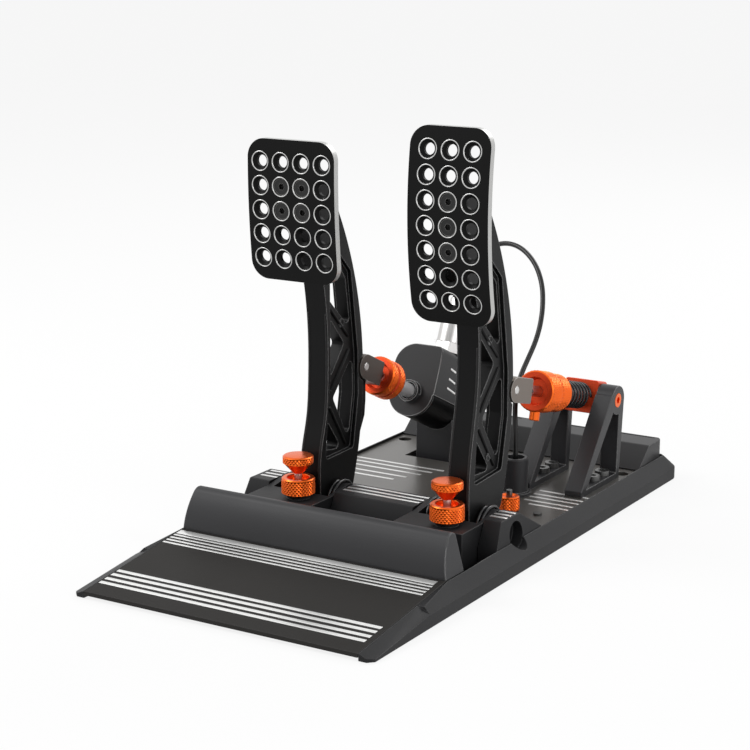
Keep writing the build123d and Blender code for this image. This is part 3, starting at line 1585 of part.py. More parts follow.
# Stop adjusters: a screw through the block's shelf with a knurled nut and a knob
nut_base = shelf_top + adjuster_boss_height + seat_gap
nut_top = nut_base + adjuster_nut_height
neck_base = nut_top + adjuster_knob_gap
knob_base = neck_base + adjuster_neck_length
knob_top = knob_base + adjuster_knob_height
knob_seat = knob_base + adjuster_knob_height / 2
for name, x, travel in (("brake", brake_x, brake_travel), ("throttle", throttle_x, throttle_travel)):
    toe_rise = toe_length * sin(radians(travel)) - toe_top_drop * cos(radians(travel))
    tip = pivot_height + toe_rise + stop_gap
    screw_line = upright(x, adjuster_back, 0)
    with BuildPart() as stop_screw:
        rod(screw_line, tip, knob_seat, adjuster_screw_radius)
    write(f"{name}_stop_screw", stop_screw)
    with BuildPart() as stop_knob:
        turned(
            screw_line,
            [
                (0, knob_seat),
                (adjuster_screw_radius, knob_seat),
                (adjuster_screw_radius, neck_base),
                (adjuster_neck_radius, neck_base),
                (adjuster_knob_radius - adjuster_rim, knob_base),
                (adjuster_knob_radius, knob_base + adjuster_rim),
                (adjuster_knob_radius, knob_top - adjuster_rim),
                (adjuster_knob_radius - adjuster_rim, knob_top),
                (0, knob_top),
            ],
        )
    write(f"{name}_stop_knob", stop_knob)
    with BuildPart() as stop_nut:
        bore = adjuster_screw_radius + running_gap
        turned(
            screw_line,
            [
                (bore, nut_base),
                (adjuster_nut_radius - adjuster_rim, nut_base),
                (adjuster_nut_radius, nut_base + adjuster_rim),
                (adjuster_nut_radius, nut_top - adjuster_rim),
                (adjuster_nut_radius - adjuster_rim, nut_top),
                (adjuster_recess_radius, nut_top),
                (adjuster_recess_radius, nut_top - adjuster_recess_depth),
                (bore, nut_top - adjuster_recess_depth),
            ],
        )
    write(f"{name}_stop_nut", stop_nut)

# Clamp nut behind the throttle's pivot
clamp_line = upright(throttle_x, clamp_nut_back, deck_top)
clamp_nut_base = clamp_washer_thickness + seat_gap
with BuildPart() as clamp_nut:
    turned(
        clamp_line,
        [
            (clamp_stud_radius + running_gap, clamp_nut_base),
            (clamp_nut_radius - adjuster_rim, clamp_nut_base),
            (clamp_nut_radius, clamp_nut_base + adjuster_rim),
            (clamp_nut_radius, clamp_nut_base + clamp_nut_height - adjuster_rim),
            (clamp_nut_radius - adjuster_rim, clamp_nut_base + clamp_nut_height),
            (clamp_nut_radius - 2 * adjuster_rim, clamp_nut_base + clamp_nut_height),
            (clamp_nut_radius - 3 * adjuster_rim, clamp_nut_base + clamp_nut_height - adjuster_rim),
            (clamp_stud_radius + running_gap, clamp_nut_base + clamp_nut_height - adjuster_rim),
        ],
    )
write("clamp_nut", clamp_nut)

# Deck plate
deck_front_back = beam_rear_back + seat_gap
deck_rear_back = cover_front_back - seat_gap
with BuildPart() as deck_plate:
    side_profile(
        [
            (deck_front_back, ledge_height),
            (deck_front_back, deck_top),
            (deck_rear_back, deck_top),
            (deck_rear_back, ledge_height),
        ],
        0,
        lid_half,
    )
    side_profile(
        [
            (pocket_front_back, ledge_height - overrun),
            (pocket_front_back, deck_top + overrun),
            (deck_rear_back + overrun, deck_top + overrun),
            (deck_rear_back + overrun, ledge_height - overrun),
        ],
        brake_x,
        pocket_side,
        Mode.SUBTRACT,
    )
    holes = [(place, deck_screw_radius + running_gap) for place in deck_screw_places]
    holes += [((side * base_bolt_spacing / 2, rear_bolts_back), access_radius) for side in (-1, 1)]
    holes.append(((throttle_x, clamp_nut_back), clamp_stud_radius + running_gap))
    holes.append(((post_x, post_back), post_bore))
    for side in (-1, 1):
        bracket_x = throttle_x + side * bracket_offset
        holes += [((bracket_x, back), pin_radius + running_gap) for back in bracket_bolt_backs]
    for (x, back), radius in holes:
        rod(upright(x, back, ledge_height), -overrun, deck_thickness + overrun, radius, Mode.SUBTRACT)
write("deck_plate", deck_plate)

# Rear cover over the control board
cover_rear_back = lid_rear_back - seat_gap
cover_top_front_back = cover_front_back + cover_slope
cover_top_rear_back = base_length - cover_top_rear_inset
with BuildPart() as rear_cover:
    side_profile(
        [
            (cover_front_back, ledge_height),
            (cover_front_back, cover_foot_height),
            (cover_top_front_back, cover_height),
            (cover_top_rear_back, cover_height),
            (cover_rear_back, rim_height),
            (cover_rear_back, ledge_height),
        ],
        0,
        lid_half,
    )
    fillet(rear_cover.edges().filter_by(Axis.Z).group_by(Axis.Y)[-1], cover_corner)
    side_profile(
        [
            (cover_front_back + cover_wall, ledge_height - overrun),
            (cover_front_back + cover_wall, cover_foot_height - cover_wall / 2),
            (cover_top_front_back + cover_wall / 2, cover_height - cover_wall),
            (cover_top_rear_back - cover_wall / 2, cover_height - cover_wall),
            (cover_rear_back - cover_wall, rim_height),
            (cover_rear_back - cover_wall, ledge_height - overrun),
        ],
        0,
        lid_half - cover_corner,
        Mode.SUBTRACT,
    )
    groove_rear = cover_top_rear_back - cover_groove_inset
    for side in (-1, 1):
        side_profile(
            [
                (groove_rear - cover_groove_width, cover_height - cover_groove_depth),
                (groove_rear - cover_groove_width, cover_height + overrun),
                (groove_rear, cover_height + overrun),
                (groove_rear, cover_height - cover_groove_depth),
            ],
            side * (lid_half + socket_width) / 2,
            lid_half / 2 - socket_width,
            Mode.SUBTRACT,
        )
    with BuildSketch(Plane.XZ.offset(-front - cover_rear_back - overrun)) as way:
        with Locations((0, board_height + board_thickness + socket_height / 2)):
            Rectangle(socket_width + 2 * running_gap, socket_height + 2 * running_gap)
    extrude(way.sketch, amount=3 * cover_wall + overrun, mode=Mode.SUBTRACT)
write("rear_cover", rear_cover)

# Control board and its socket
with BuildPart() as control_board:
    with BuildSketch(upright(0, board_front_back + board_length / 2, board_height)) as board_outline:
        Rectangle(board_width, board_length)
    extrude(board_outline.sketch, amount=board_thickness)
    for x, back in board_post_places:
        post = upright(x, back, board_height)
        rod(post, -overrun, board_thickness + overrun, deck_screw_radius, Mode.SUBTRACT)
    board_top = board_height + board_thickness
    with BuildSketch(upright(0, board_front_back + board_length / 3, board_top)) as chips:
        with GridLocations(board_width / 4, board_length / 3, 3, 1):
            Rectangle(board_length / 3, board_length / 3)
    extrude(chips.sketch, amount=board_thickness)
write("control_board", control_board)
with BuildPart() as usb_socket:
    socket_rear = Plane.XZ.offset(-front - cover_rear_back)
    with BuildSketch(socket_rear) as shell:
        with Locations((0, board_height + board_thickness + socket_height / 2)):
            RectangleRounded(socket_width, socket_height, socket_wall / 2)
    extrude(shell.sketch, amount=socket_length)
    with BuildSketch(socket_rear) as mouth_shape:
        with Locations((0, board_height + board_thickness + socket_height / 2)):
            Rectangle(socket_width - 2 * socket_wall, socket_height - 2 * socket_wall)
    extrude(mouth_shape.sketch, amount=socket_length - socket_wall, mode=Mode.SUBTRACT)
write("usb_socket", usb_socket)

# Steel screws and the clamp stud, all fixed in the base
with BuildPart() as base_fasteners:
    for side in (-1, 1):
        for back in bracket_bolt_backs:
            place = upright(throttle_x + side * bracket_offset, back, bracket_foot_top)
            rod(place, 0, bolt_head_height, bolt_head_radius)
            rod(place, 0, deck_top - bracket_foot_top - thread_bite, pin_radius)
            with BuildSketch(place.offset(bolt_head_height)) as socket:
                RegularPolygon(bolt_head_radius / 2, 6)
            extrude(socket.sketch, amount=-bolt_head_height / 2, mode=Mode.SUBTRACT)
    for x, back in block_bolt_places:
        place = upright(x, back, floor_thickness + block_foot_height)
        rod(place, 0, block_bolt_radius, block_bolt_head)
        rod(place, 0, -block_foot_height - floor_thickness + seat_gap, block_bolt_radius)
    for x, back in deck_screw_places:
        place = upright(x, back, deck_top)
        rod(place, 0, deck_screw_radius, deck_screw_head)
        rod(place, 0, -thread_bite, deck_screw_radius)
    rod(clamp_line, 0, clamp_washer_thickness, clamp_washer_radius)
    rod(clamp_line, -thread_bite, clamp_stud_top - deck_top, clamp_stud_radius)
write("base_fasteners", base_fasteners)
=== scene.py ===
import json
import math

import bmesh
import bpy
from mathutils import Matrix, Vector
from mathutils.bvhtree import BVHTree

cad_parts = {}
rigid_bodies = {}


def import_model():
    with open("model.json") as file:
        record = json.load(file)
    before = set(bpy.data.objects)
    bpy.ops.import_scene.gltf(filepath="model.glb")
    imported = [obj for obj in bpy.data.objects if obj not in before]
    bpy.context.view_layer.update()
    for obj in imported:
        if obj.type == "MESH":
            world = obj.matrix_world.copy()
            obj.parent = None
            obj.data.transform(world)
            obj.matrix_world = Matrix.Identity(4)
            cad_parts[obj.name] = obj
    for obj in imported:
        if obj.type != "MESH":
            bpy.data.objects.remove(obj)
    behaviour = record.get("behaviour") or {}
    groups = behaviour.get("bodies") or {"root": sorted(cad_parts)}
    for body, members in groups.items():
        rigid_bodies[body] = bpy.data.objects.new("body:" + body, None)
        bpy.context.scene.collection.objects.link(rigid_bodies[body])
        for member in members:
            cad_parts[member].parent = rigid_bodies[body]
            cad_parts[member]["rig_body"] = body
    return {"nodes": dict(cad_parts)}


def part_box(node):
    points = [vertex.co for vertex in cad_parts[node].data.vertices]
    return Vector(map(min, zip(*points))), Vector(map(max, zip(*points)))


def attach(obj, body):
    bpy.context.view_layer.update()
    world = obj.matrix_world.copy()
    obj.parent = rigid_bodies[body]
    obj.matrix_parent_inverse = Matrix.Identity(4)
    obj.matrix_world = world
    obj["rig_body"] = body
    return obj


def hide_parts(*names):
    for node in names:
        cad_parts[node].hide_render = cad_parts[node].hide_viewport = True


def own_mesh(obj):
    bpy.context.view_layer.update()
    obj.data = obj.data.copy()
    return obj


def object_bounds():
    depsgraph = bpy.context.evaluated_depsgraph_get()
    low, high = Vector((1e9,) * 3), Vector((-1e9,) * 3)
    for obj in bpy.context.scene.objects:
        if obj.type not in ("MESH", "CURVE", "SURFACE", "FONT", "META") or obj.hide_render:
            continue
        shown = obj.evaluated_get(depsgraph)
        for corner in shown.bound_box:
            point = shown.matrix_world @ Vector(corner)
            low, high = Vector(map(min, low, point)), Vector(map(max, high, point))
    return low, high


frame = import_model()
cad_box = [list(corner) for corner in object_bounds()]

# Units, directions and main places, with sizes in mm

MM = 0.001
FRONT = round(cad_box[0][1] / MM, 3)
RIGHT = Vector((1, 0, 0))
BACK = Vector((0, 1, 0))
UP = Vector((0, 0, 1))


def at(x, back, height):
    """A place in metres from millimetres: across, behind the front edge and above the floor."""
    return Vector((x, FRONT + back, height)) * MM


BRAKE_X, THROTTLE_X = -50.0, 70.0
PIVOT_BACK, PIVOT_HEIGHT = 205.5, 21.5
STOP_BACK = 170.0
CLAMP_NUT_BACK = 260.5
BRAKE_PIN = at(BRAKE_X, 247, 113)
BRAKE_AXIS = (at(BRAKE_X, 329, 75) - BRAKE_PIN).normalized()
THROTTLE_PIN = at(THROTTLE_X, 252, 110)
THROTTLE_AXIS = (at(THROTTLE_X, 381.5, 77) - THROTTLE_PIN).normalized()

# The trunnion's middle along the throttle rod's line, from its pin, and half its length there

TRUNNION, TRUNNION_HALF = 133.64, 8.0

# Camera, fitted to the photo's perspective

CAMERA_PLACE = (0.688523, -1.168980, 0.441437)
CAMERA_LOOK = (-0.50665333, 0.82975805, -0.2341025)
CAMERA_LENS = 94.528
FILM_WIDTH = 36.0
CLIP_NEAR, CLIP_FAR = 0.05, 30.0

camera = bpy.data.objects.new("camera", bpy.data.cameras.new("camera"))
bpy.context.scene.collection.objects.link(camera)
bpy.context.scene.camera = camera
camera.data.sensor_width = FILM_WIDTH
camera.data.lens = CAMERA_LENS
camera.data.clip_start, camera.data.clip_end = CLIP_NEAR, CLIP_FAR
look = Vector(CAMERA_LOOK).normalized()
side = look.cross(UP).normalized()
rise = side.cross(look)
turn = Matrix((side, rise, -look)).transposed()
camera.matrix_world = Matrix.Translation(CAMERA_PLACE) @ turn.to_4x4()

# Materials

CLOUD_DETAIL, SPECK_DETAIL = 4.0, 3.0
GLOSS_SPREAD, LEAST_ROUGHNESS = 0.08, 0.02
GRAIN_DEPTH = 0.0004
EDGE_SAMPLES = 4
EDGE_BEGIN, EDGE_FULL = 0.99, 0.85


def link(tree, out_socket, in_socket):
    tree.links.new(out_socket, in_socket)


def noise(tree, place, scale, detail):
    """A noise texture read at a place."""
    cloud = tree.nodes.new("ShaderNodeTexNoise")
    cloud.inputs["Scale"].default_value = scale
    cloud.inputs["Detail"].default_value = detail
    link(tree, place, cloud.inputs["Vector"])
    return cloud.outputs["Fac"]


def worn_and_highlit_edges(tree, base, radius, pale, amount):
    """Turns a colour paler where the shape has an edge: some of this is wear, most is a painted highlight
    along the edge.
    """
    soft = tree.nodes.new("ShaderNodeBevel")
    soft.samples = EDGE_SAMPLES
    soft.inputs["Radius"].default_value = radius * MM
    true = tree.nodes.new("ShaderNodeNewGeometry")
    dot = tree.nodes.new("ShaderNodeVectorMath")
    dot.operation = "DOT_PRODUCT"
    link(tree, soft.outputs["Normal"], dot.inputs[0])
    link(tree, true.outputs["Normal"], dot.inputs[1])
    edge = tree.nodes.new("ShaderNodeMapRange")
    edge.inputs["From Min"].default_value = EDGE_BEGIN
    edge.inputs["From Max"].default_value = EDGE_FULL
    edge.inputs["To Max"].default_value = amount
    link(tree, dot.outputs["Value"], edge.inputs["Value"])
    wear_and_highlight = tree.nodes.new("ShaderNodeMix")
    wear_and_highlight.data_type = "RGBA"
    wear_and_highlight.inputs["B"].default_value = (*pale, 1)
    link(tree, edge.outputs["Result"], wear_and_highlight.inputs["Factor"])
    link(tree, base, wear_and_highlight.inputs["A"])
    return wear_and_highlight.outputs["Result"]


def finish(
    name,
    colour,
    roughness,
    metallic=0.0,
    specular=0.5,
    grain=(900.0, 0.15),
    blotch=(14.0, 0.12),
    edge_wear_and_highlight=None,
    stretch=(1.0, 1.0, 1.0),
):
    """A procedural finish: mottled colour, uneven gloss, fine grain and, where asked, paler edges, which are
    partly wear and partly painted highlight.

    grain is (scale, strength), blotch is (scale, share of the colour) and the edge argument is (radius,
    colour, amount) of those paler edges.
    """
    material = bpy.data.materials.new(name)
    material.use_nodes = True
    tree = material.node_tree
    shader = tree.nodes["Principled BSDF"]
    shader.inputs["Metallic"].default_value = metallic
    shader.inputs["Specular IOR Level"].default_value = specular
    place = tree.nodes.new("ShaderNodeTexCoord")
    scaled = tree.nodes.new("ShaderNodeMapping")
    scaled.inputs["Scale"].default_value = stretch
    link(tree, place.outputs["Object"], scaled.inputs["Vector"])
    cloud = noise(tree, scaled.outputs["Vector"], blotch[0], CLOUD_DETAIL)
    tone = tree.nodes.new("ShaderNodeMix")
    tone.data_type = "RGBA"
    tone.inputs["A"].default_value = (*[part * (1 - blotch[1]) for part in colour], 1)
    tone.inputs["B"].default_value = (*[min(1.0, part * (1 + blotch[1])) for part in colour], 1)
    link(tree, cloud, tone.inputs["Factor"])
    last = tone.outputs["Result"]
    if edge_wear_and_highlight:
        last = worn_and_highlit_edges(tree, last, *edge_wear_and_highlight)
    link(tree, last, shader.inputs["Base Color"])
    gloss = tree.nodes.new("ShaderNodeMapRange")
    gloss.inputs["To Min"].default_value = max(LEAST_ROUGHNESS, roughness - GLOSS_SPREAD)
    gloss.inputs["To Max"].default_value = roughness + GLOSS_SPREAD
    link(tree, cloud, gloss.inputs["Value"])
    link(tree, gloss.outputs["Result"], shader.inputs["Roughness"])
    bump = tree.nodes.new("ShaderNodeBump")
    bump.inputs["Strength"].default_value = grain[1]
    bump.inputs["Distance"].default_value = GRAIN_DEPTH
    link(tree, noise(tree, scaled.outputs["Vector"], grain[0], SPECK_DETAIL), bump.inputs["Height"])
    link(tree, bump.outputs["Normal"], shader.inputs["Normal"])
    return material


def grey(level):
    return (level, level, level)


# Painted and anodised blacks

# The edge colours given below pale each edge: partly wear, mostly a painted highlight.
PALE = grey(0.22)
cast = finish("cast_black", (0.012, 0.012, 0.013), 0.5, specular=0.2, edge_wear_and_highlight=(0.9, PALE, 0.4))
cast_soft = finish("cast_cover", (0.022, 0.022, 0.023), 0.45, specular=0.3, edge_wear_and_highlight=(0.9, PALE, 0.4))
foot_black = finish("foot_black", (0.022, 0.0205, 0.019), 0.62, specular=0.15, edge_wear_and_highlight=(0.7, PALE, 0.3))
ridge_black = finish("ridge_black", (0.026, 0.026, 0.028), 0.5, specular=0.35, edge_wear_and_highlight=(1.4, grey(0.34), 0.8))
deck_black = finish("deck_black", (0.11, 0.104, 0.096), 0.3, metallic=0.4, specular=0.7)
arm_black = finish("arm_black", (0.005, 0.005, 0.0052), 0.4, specular=0.12, edge_wear_and_highlight=(0.9, grey(0.36), 0.8))
plate_black = finish("plate_black", grey(0.005), 0.45, specular=0.1)
barrel_black = finish("barrel_black", (0.004, 0.004, 0.0042), 0.34, specular=0.1, edge_wear_and_highlight=(0.6, PALE, 0.3))
bracket_black = finish(
    "bracket_black", (0.024, 0.024, 0.026), 0.42, specular=0.3, edge_wear_and_highlight=(0.8, grey(0.42), 0.75)
)
shell_grey = finish("shell_grey", (0.018, 0.018, 0.019), 0.38, specular=0.25, edge_wear_and_highlight=(1.2, grey(0.45), 0.95))
black_steel = finish("black_oxide", grey(0.009), 0.42, specular=0.35, edge_wear_and_highlight=(0.5, (0.3, 0.29, 0.28), 0.6))
spring_black = finish("spring_black", (0.008, 0.008, 0.009), 0.24, grain=(1500.0, 0.1))

# Orange and red anodising

orange = finish(
    "orange_anodised", (0.88, 0.14, 0.016), 0.29, metallic=0.88, grain=(2500.0, 0.1), blotch=(60.0, 0.1)
)
# A deeper red for the knobs' front faces, painted shade in their recesses
recess_shade_red = finish(
    "anodised_recess_shade", (0.66, 0.055, 0.01), 0.36, metallic=0.7, grain=(2500.0, 0.1), blotch=(60.0, 0.15)
)
red = finish("trunnion_red", (0.72, 0.07, 0.016), 0.36, metallic=0.55)

# Bare metals

silver = finish("bright_line", (0.86, 0.86, 0.85), 0.3, metallic=0.6, grain=(1800.0, 0.1))
steel = finish("satin_steel", (0.62, 0.61, 0.6), 0.3, metallic=1.0, grain=(1500.0, 0.12), stretch=(1, 1, 6))
# The clevis finishes' pale edges are partly wear, mostly a painted highlight.
clevis_steel = finish(
    "clevis_steel",
    (0.17, 0.145, 0.125),
    0.34,
    metallic=0.85,
    grain=(1200.0, 0.2),
    edge_wear_and_highlight=(0.5, (0.8, 0.8, 0.78), 0.8),
)
clevis_dark = finish(
    "clevis_dark",
    (0.085, 0.07, 0.06),
    0.36,
    metallic=0.75,
    grain=(1200.0, 0.2),
    edge_wear_and_highlight=(0.5, (0.6, 0.59, 0.57), 0.7),
)
dark_steel = finish("dark_steel", (0.13, 0.13, 0.128), 0.36, metallic=0.9, grain=(1500.0, 0.12))
plate_wall = finish("plate_wall", (0.5, 0.5, 0.49), 0.4, metallic=0.75, grain=(1800.0, 0.1))
rim_silver = finish("rim_silver", (0.6, 0.6, 0.59), 0.3, metallic=0.8, grain=(1800.0, 0.1))
chrome = finish("polished_rod", (0.80, 0.80, 0.81), 0.26, metallic=0.5, grain=(900.0, 0.04))
alloy = finish("machined_alloy", (0.68, 0.68, 0.69), 0.28, metallic=1.0)

# Rubber, cable jacket and circuit board

rubber = finish("rubber_black", grey(0.014), 0.65, specular=0.3)
jacket = finish("cable_jacket", grey(0.006), 0.28, specular=0.35, grain=(2200.0, 0.1))
board = finish("board_green", (0.02, 0.11, 0.05), 0.4, grain=(800.0, 0.2))

# Mesh helpers

SMOOTH_ANGLE, SHARP_ANGLE, FLAT_ANGLE = 32.0, 30.0, 0.4
ROUND_PROFILE = 0.5
NEARLY_ALONG = 0.9
WELD, SEAM, SLIVER = 2e-6, 1e-7, 1e-8
KNURL_DEPTH = 0.5
DOME_REACH, DOME_SHARE = 0.6, 0.5
COIL_STEPS = 36
BAR_SINK, BAR_EDGE = 0.1, 0.3


def placed(name, bm, material, body, smooth_angle=SMOOTH_ANGLE):
    """Turns a bmesh into a shaded piece that rides on a body."""
    mesh = bpy.data.meshes.new(name)
    bm.to_mesh(mesh)
    bm.free()
    mesh.polygons.foreach_set("use_smooth", [True] * len(mesh.polygons))
    mesh.set_sharp_from_angle(angle=math.radians(smooth_angle))
    piece = bpy.data.objects.new(name, mesh)
    bpy.context.scene.collection.objects.link(piece)
    mesh.materials.append(material)
    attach(piece, body)
    return piece


def softened(node, material, width, segments=2, outer=lambda place: True):
    """A copy of a CAD node with rounded edges, all or those whose ends the last argument takes."""
    bm = bmesh.new()
    bm.from_mesh(frame["nodes"][node].data)
    bmesh.ops.remove_doubles(bm, verts=bm.verts, dist=WELD)
    bmesh.ops.dissolve_limit(bm, angle_limit=math.radians(FLAT_ANGLE), verts=bm.verts, edges=bm.edges)
    sharp = [
        edge
        for edge in bm.edges
        if len(edge.link_faces) == 2
        and edge.calc_face_angle(0) > math.radians(SHARP_ANGLE)
        and all(outer(vertex.co) for vertex in edge.verts)
    ]
    bmesh.ops.bevel(
        bm,
        geom=sharp,
        offset=width * MM,
        offset_type="OFFSET",
        segments=segments,
        profile=ROUND_PROFILE,
        affect="EDGES",
        clamp_overlap=False,
        loop_slide=True,
    )
    piece = placed(node + "_piece", bm, material, frame["nodes"][node]["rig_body"])
    weighted = piece.modifiers.new("weighted", "WEIGHTED_NORMAL")
    weighted.keep_sharp = True
    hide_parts(node)


def cross_lines(axis):
    """Two lines square to an axis and to each other."""
    across = RIGHT if abs(axis.dot(RIGHT)) < NEARLY_ALONG else UP
    across = (across - axis * across.dot(axis)).normalized()
    return across, axis.cross(across)


def add_ring(bm, centre, across, third, radii):
    """Adds a ring of vertices round a place in metres, one for each radius in mm."""
    ring = []
    for i, radius in enumerate(radii):
        angle = 2 * math.pi * i / len(radii)
        out = across * math.cos(angle) + third * math.sin(angle)
        ring.append(bm.verts.new(centre + out * radius * MM))
    return ring


def add_band(bm, one, two):
    """Joins two rings with a band of faces."""
    count = len(one)
    for k in range(count):
        bm.faces.new((one[k], one[(k + 1) % count], two[(k + 1) % count], two[k]))


def add_knurl(bm, one, two, shift):
    """Joins two rings with triangles whose edges run between their raised points."""
    count = len(one)
    for k in range(count):
        a, b, c, d = one[k], one[(k + 1) % count], two[(k + 1) % count], two[k]
        if (k + shift) % 2 == 0:
            bm.faces.new((a, b, d))
            bm.faces.new((b, c, d))
        else:
            bm.faces.new((a, b, c))
            bm.faces.new((a, c, d))


def spun(name, origin, axis, outline, material, body, columns, replaces=()):
    """Turns a closed outline of (radius, distance) in mm about a line.

    A (radius, from, to) entry is a knurled stretch.
    """
    rows = []
    for entry in outline:
        if len(entry) == 2:
            radius, distance = entry
            rows.append((distance, [radius] * columns, None))
            continue
        radius, begin, end = entry
        count = max(2, round(abs(end - begin) / (2 * math.pi * radius / columns)))
        for j in range(count + 1):
            radii = [radius if (i + j) % 2 == 0 else radius - KNURL_DEPTH for i in range(columns)]
            rows.append((begin + (end - begin) * j / count, radii, j))
    across, third = cross_lines(axis)
    bm = bmesh.new()
    grid = [add_ring(bm, origin + axis * distance * MM, across, third, radii) for distance, radii, _ in rows]
    for k, row in enumerate(grid):
        after = (k + 1) % len(grid)
        first, second = rows[k][2], rows[after][2]
        if first is None or second is None or second != first + 1:
            add_band(bm, row, grid[after])
        else:
            add_knurl(bm, row, grid[after], first)
    bmesh.ops.remove_doubles(bm, verts=bm.verts, dist=SEAM)
    bmesh.ops.dissolve_degenerate(bm, edges=bm.edges, dist=SLIVER)
    bmesh.ops.recalc_face_normals(bm, faces=bm.faces)
    piece = placed(name, bm, material, body)
    if replaces:
        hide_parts(*replaces)
    return piece


def add_tube(bm, points, radius, sides=12):
    """Adds a round bar with domed ends along close points in metres, with its radius in mm."""
    tangents = []
    for i in range(len(points)):
        tangents.append((points[min(i + 1, len(points) - 1)] - points[max(i - 1, 0)]).normalized())
    reach = radius * DOME_REACH * MM
    stations = [(points[0] - tangents[0] * reach, tangents[0], radius * DOME_SHARE)]
    stations += [(point, tangent, radius) for point, tangent in zip(points, tangents)]
    stations += [(points[-1] + tangents[-1] * reach, tangents[-1], radius * DOME_SHARE)]
    normal = tangents[0].orthogonal().normalized()
    rings = []
    for centre, tangent, size in stations:
        normal = (normal - tangent * normal.dot(tangent)).normalized()
        rings.append(add_ring(bm, centre, normal, tangent.cross(normal), [size] * sides))
    for one, two in zip(rings, rings[1:]):
        add_band(bm, one, two)
    bm.faces.new(rings[0][::-1])
    bm.faces.new(rings[-1])


def coil_points(origin, axis, radius, pitch, turns):
    """Points of a helix about an axis, with its radius and pitch in mm."""
    across, third = cross_lines(axis)
    points = []
    for k in range(round(turns * COIL_STEPS) + 1):
        angle = 2 * math.pi * k / COIL_STEPS
        out = across * math.cos(angle) + third * math.sin(angle)
        points.append(origin + axis * (k / COIL_STEPS * pitch * MM) + out * (radius * MM))
    return points


def add_bar(bm, corners, height):
    """Adds a thin flat bar on four corners given round its outline, with chamfered top edges."""
    normal = (corners[1] - corners[0]).cross(corners[3] - corners[0]).normalized()
    low = [bm.verts.new(corner - normal * BAR_SINK * MM) for corner in corners]
    mid = [bm.verts.new(corner + normal * (height - BAR_EDGE / 2) * MM) for corner in corners]
    top = []
    for k, corner in enumerate(corners):
        a = (corners[k - 1] - corner).normalized()
        b = (corners[(k + 1) % 4] - corner).normalized()
        top.append(bm.verts.new(corner + (a + b) * BAR_EDGE * MM + normal * height * MM))
    add_band(bm, low, mid)
    add_band(bm, mid, top)
    bm.faces.new(top)


def tree_of(node):
    """A ray casting tree of a CAD node."""
    mesh = frame["nodes"][node].data
    return BVHTree.FromPolygons(
        [vertex.co.copy() for vertex in mesh.vertices], [tuple(face.vertices) for face in mesh.polygons]
    )


# Sensor cable, the same route as the solid's

CABLE_RADIUS = 1.9
cable_route = [
    (-42.0, 386.2, 138.9),
    (-42.0, 392.0, 151.6),
    (-36.1, 396.4, 166.1),
    (-24.3, 397.8, 178.7),
    (-8.2, 395.7, 185.8),
    (9.6, 390.5, 184.3),
    (25.6, 383.0, 174.7),
    (36.3, 374.1, 161.0),
    (42.1, 364.3, 146.7),
    (45.1, 354.5, 133.8),
    (46.0, 344.8, 122.4),
    (45.3, 335.1, 112.2),
    (44.3, 325.9, 101.9),
    (44.6, 318.3, 91.1),
    (46.4, 312.9, 79.7),
    (48.5, 309.6, 68.0),
    (50.0, 308.0, 56.0),
    (50.0, 308.0, 38.0),
]
cable_curve = bpy.data.curves.new("sensor_cable_line", "CURVE")
cable_curve.dimensions = "3D"
cable_curve.bevel_depth = CABLE_RADIUS * MM
cable_curve.bevel_resolution = 5
cable_curve.resolution_u = 10
cable_curve.use_fill_caps = True
line = cable_curve.splines.new("NURBS")
line.points.add(len(cable_route) - 1)
for point, place in zip(line.points, cable_route):
    point.co = (*at(*place), 1.0)
line.order_u = 3
line.use_endpoint_u = True
cable = bpy.data.objects.new("sensor_cable_piece", cable_curve)
bpy.context.scene.collection.objects.link(cable)
cable.data.materials.append(jacket)
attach(cable, "base")
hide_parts("sensor_cable")

BOOT_BORE = 2.0
boot_outline = [
    (BOOT_BORE, -0.5),
    (5.2, -0.5),
    (5.2, 1.5),
    (4.6, 2.5),
    (4.6, 4.5),
    (3.9, 5.0),
    (3.9, 7.0),
    (3.3, 7.5),
    (2.7, 12.0),
    (BOOT_BORE, 12.5),
]
sensor_up = (at(*cable_route[1]) - at(*cable_route[0])).normalized()
boot = spun(
    "sensor_cable_boot", at(*cable_route[0]), sensor_up, boot_outline, rubber, "base", columns=32
)

# Castings and turned parts with rounded edges

for node, material, width, slot in (
    ("base_tray", cast, 0.5, "cast_black"),
    ("footrest_plate", foot_black, 0.3, "footrest"),
    ("heel_ridge", ridge_black, 1.0, "ridge"),
    ("pivot_beam", cast, 0.6, "cast_black"),
    ("deck_plate", deck_black, 0.25, "deck"),
    ("brake_arm", arm_black, 0.4, "arm_black"),
    ("throttle_arm", arm_black, 0.4, "arm_black"),
    ("throttle_bracket_left", bracket_black, 0.7, "bracket_black"),
    ("throttle_bracket_right", bracket_black, 0.7, "bracket_black"),
    ("throttle_trunnion", red, 0.5, "trunnion_red"),
    ("cylinder_cradle", bracket_black, 0.6, "bracket_black"),
    ("cylinder_cap", shell_grey, 0.4, "cover_grey"),
    ("cylinder_barrel", barrel_black, 0.3, "cover_grey"),
    ("brake_clevis", clevis_dark, 0.3, "clevis_steel"),
    ("throttle_clevis", clevis_steel, 0.3, "clevis_steel"),
    ("brake_pivot_block", cast, 0.3, "cast_black"),
    ("throttle_pivot_block", cast, 0.3, "cast_black"),
    ("cable_post", bracket_black, 0.4, "bracket_black"),
    ("brake_lock_nut", black_steel, 0.25, "black_steel"),
    ("throttle_lock_nut", black_steel, 0.25, "black_steel"),
    ("pressure_sensor", steel, 0.3, "steel"),
    ("trunnion_bolts", orange, 0.3, "orange_anodised"),
    ("base_fasteners", dark_steel, 0.2, "steel"),
    ("usb_socket", steel, 0.15, "steel"),
):
    softened(node, material, width)

# The rear cover is rounded only round its top, and the cylinder cover only outside its bores

COVER_TOP_BAND = 0.5
BORES_REACH = 21.0


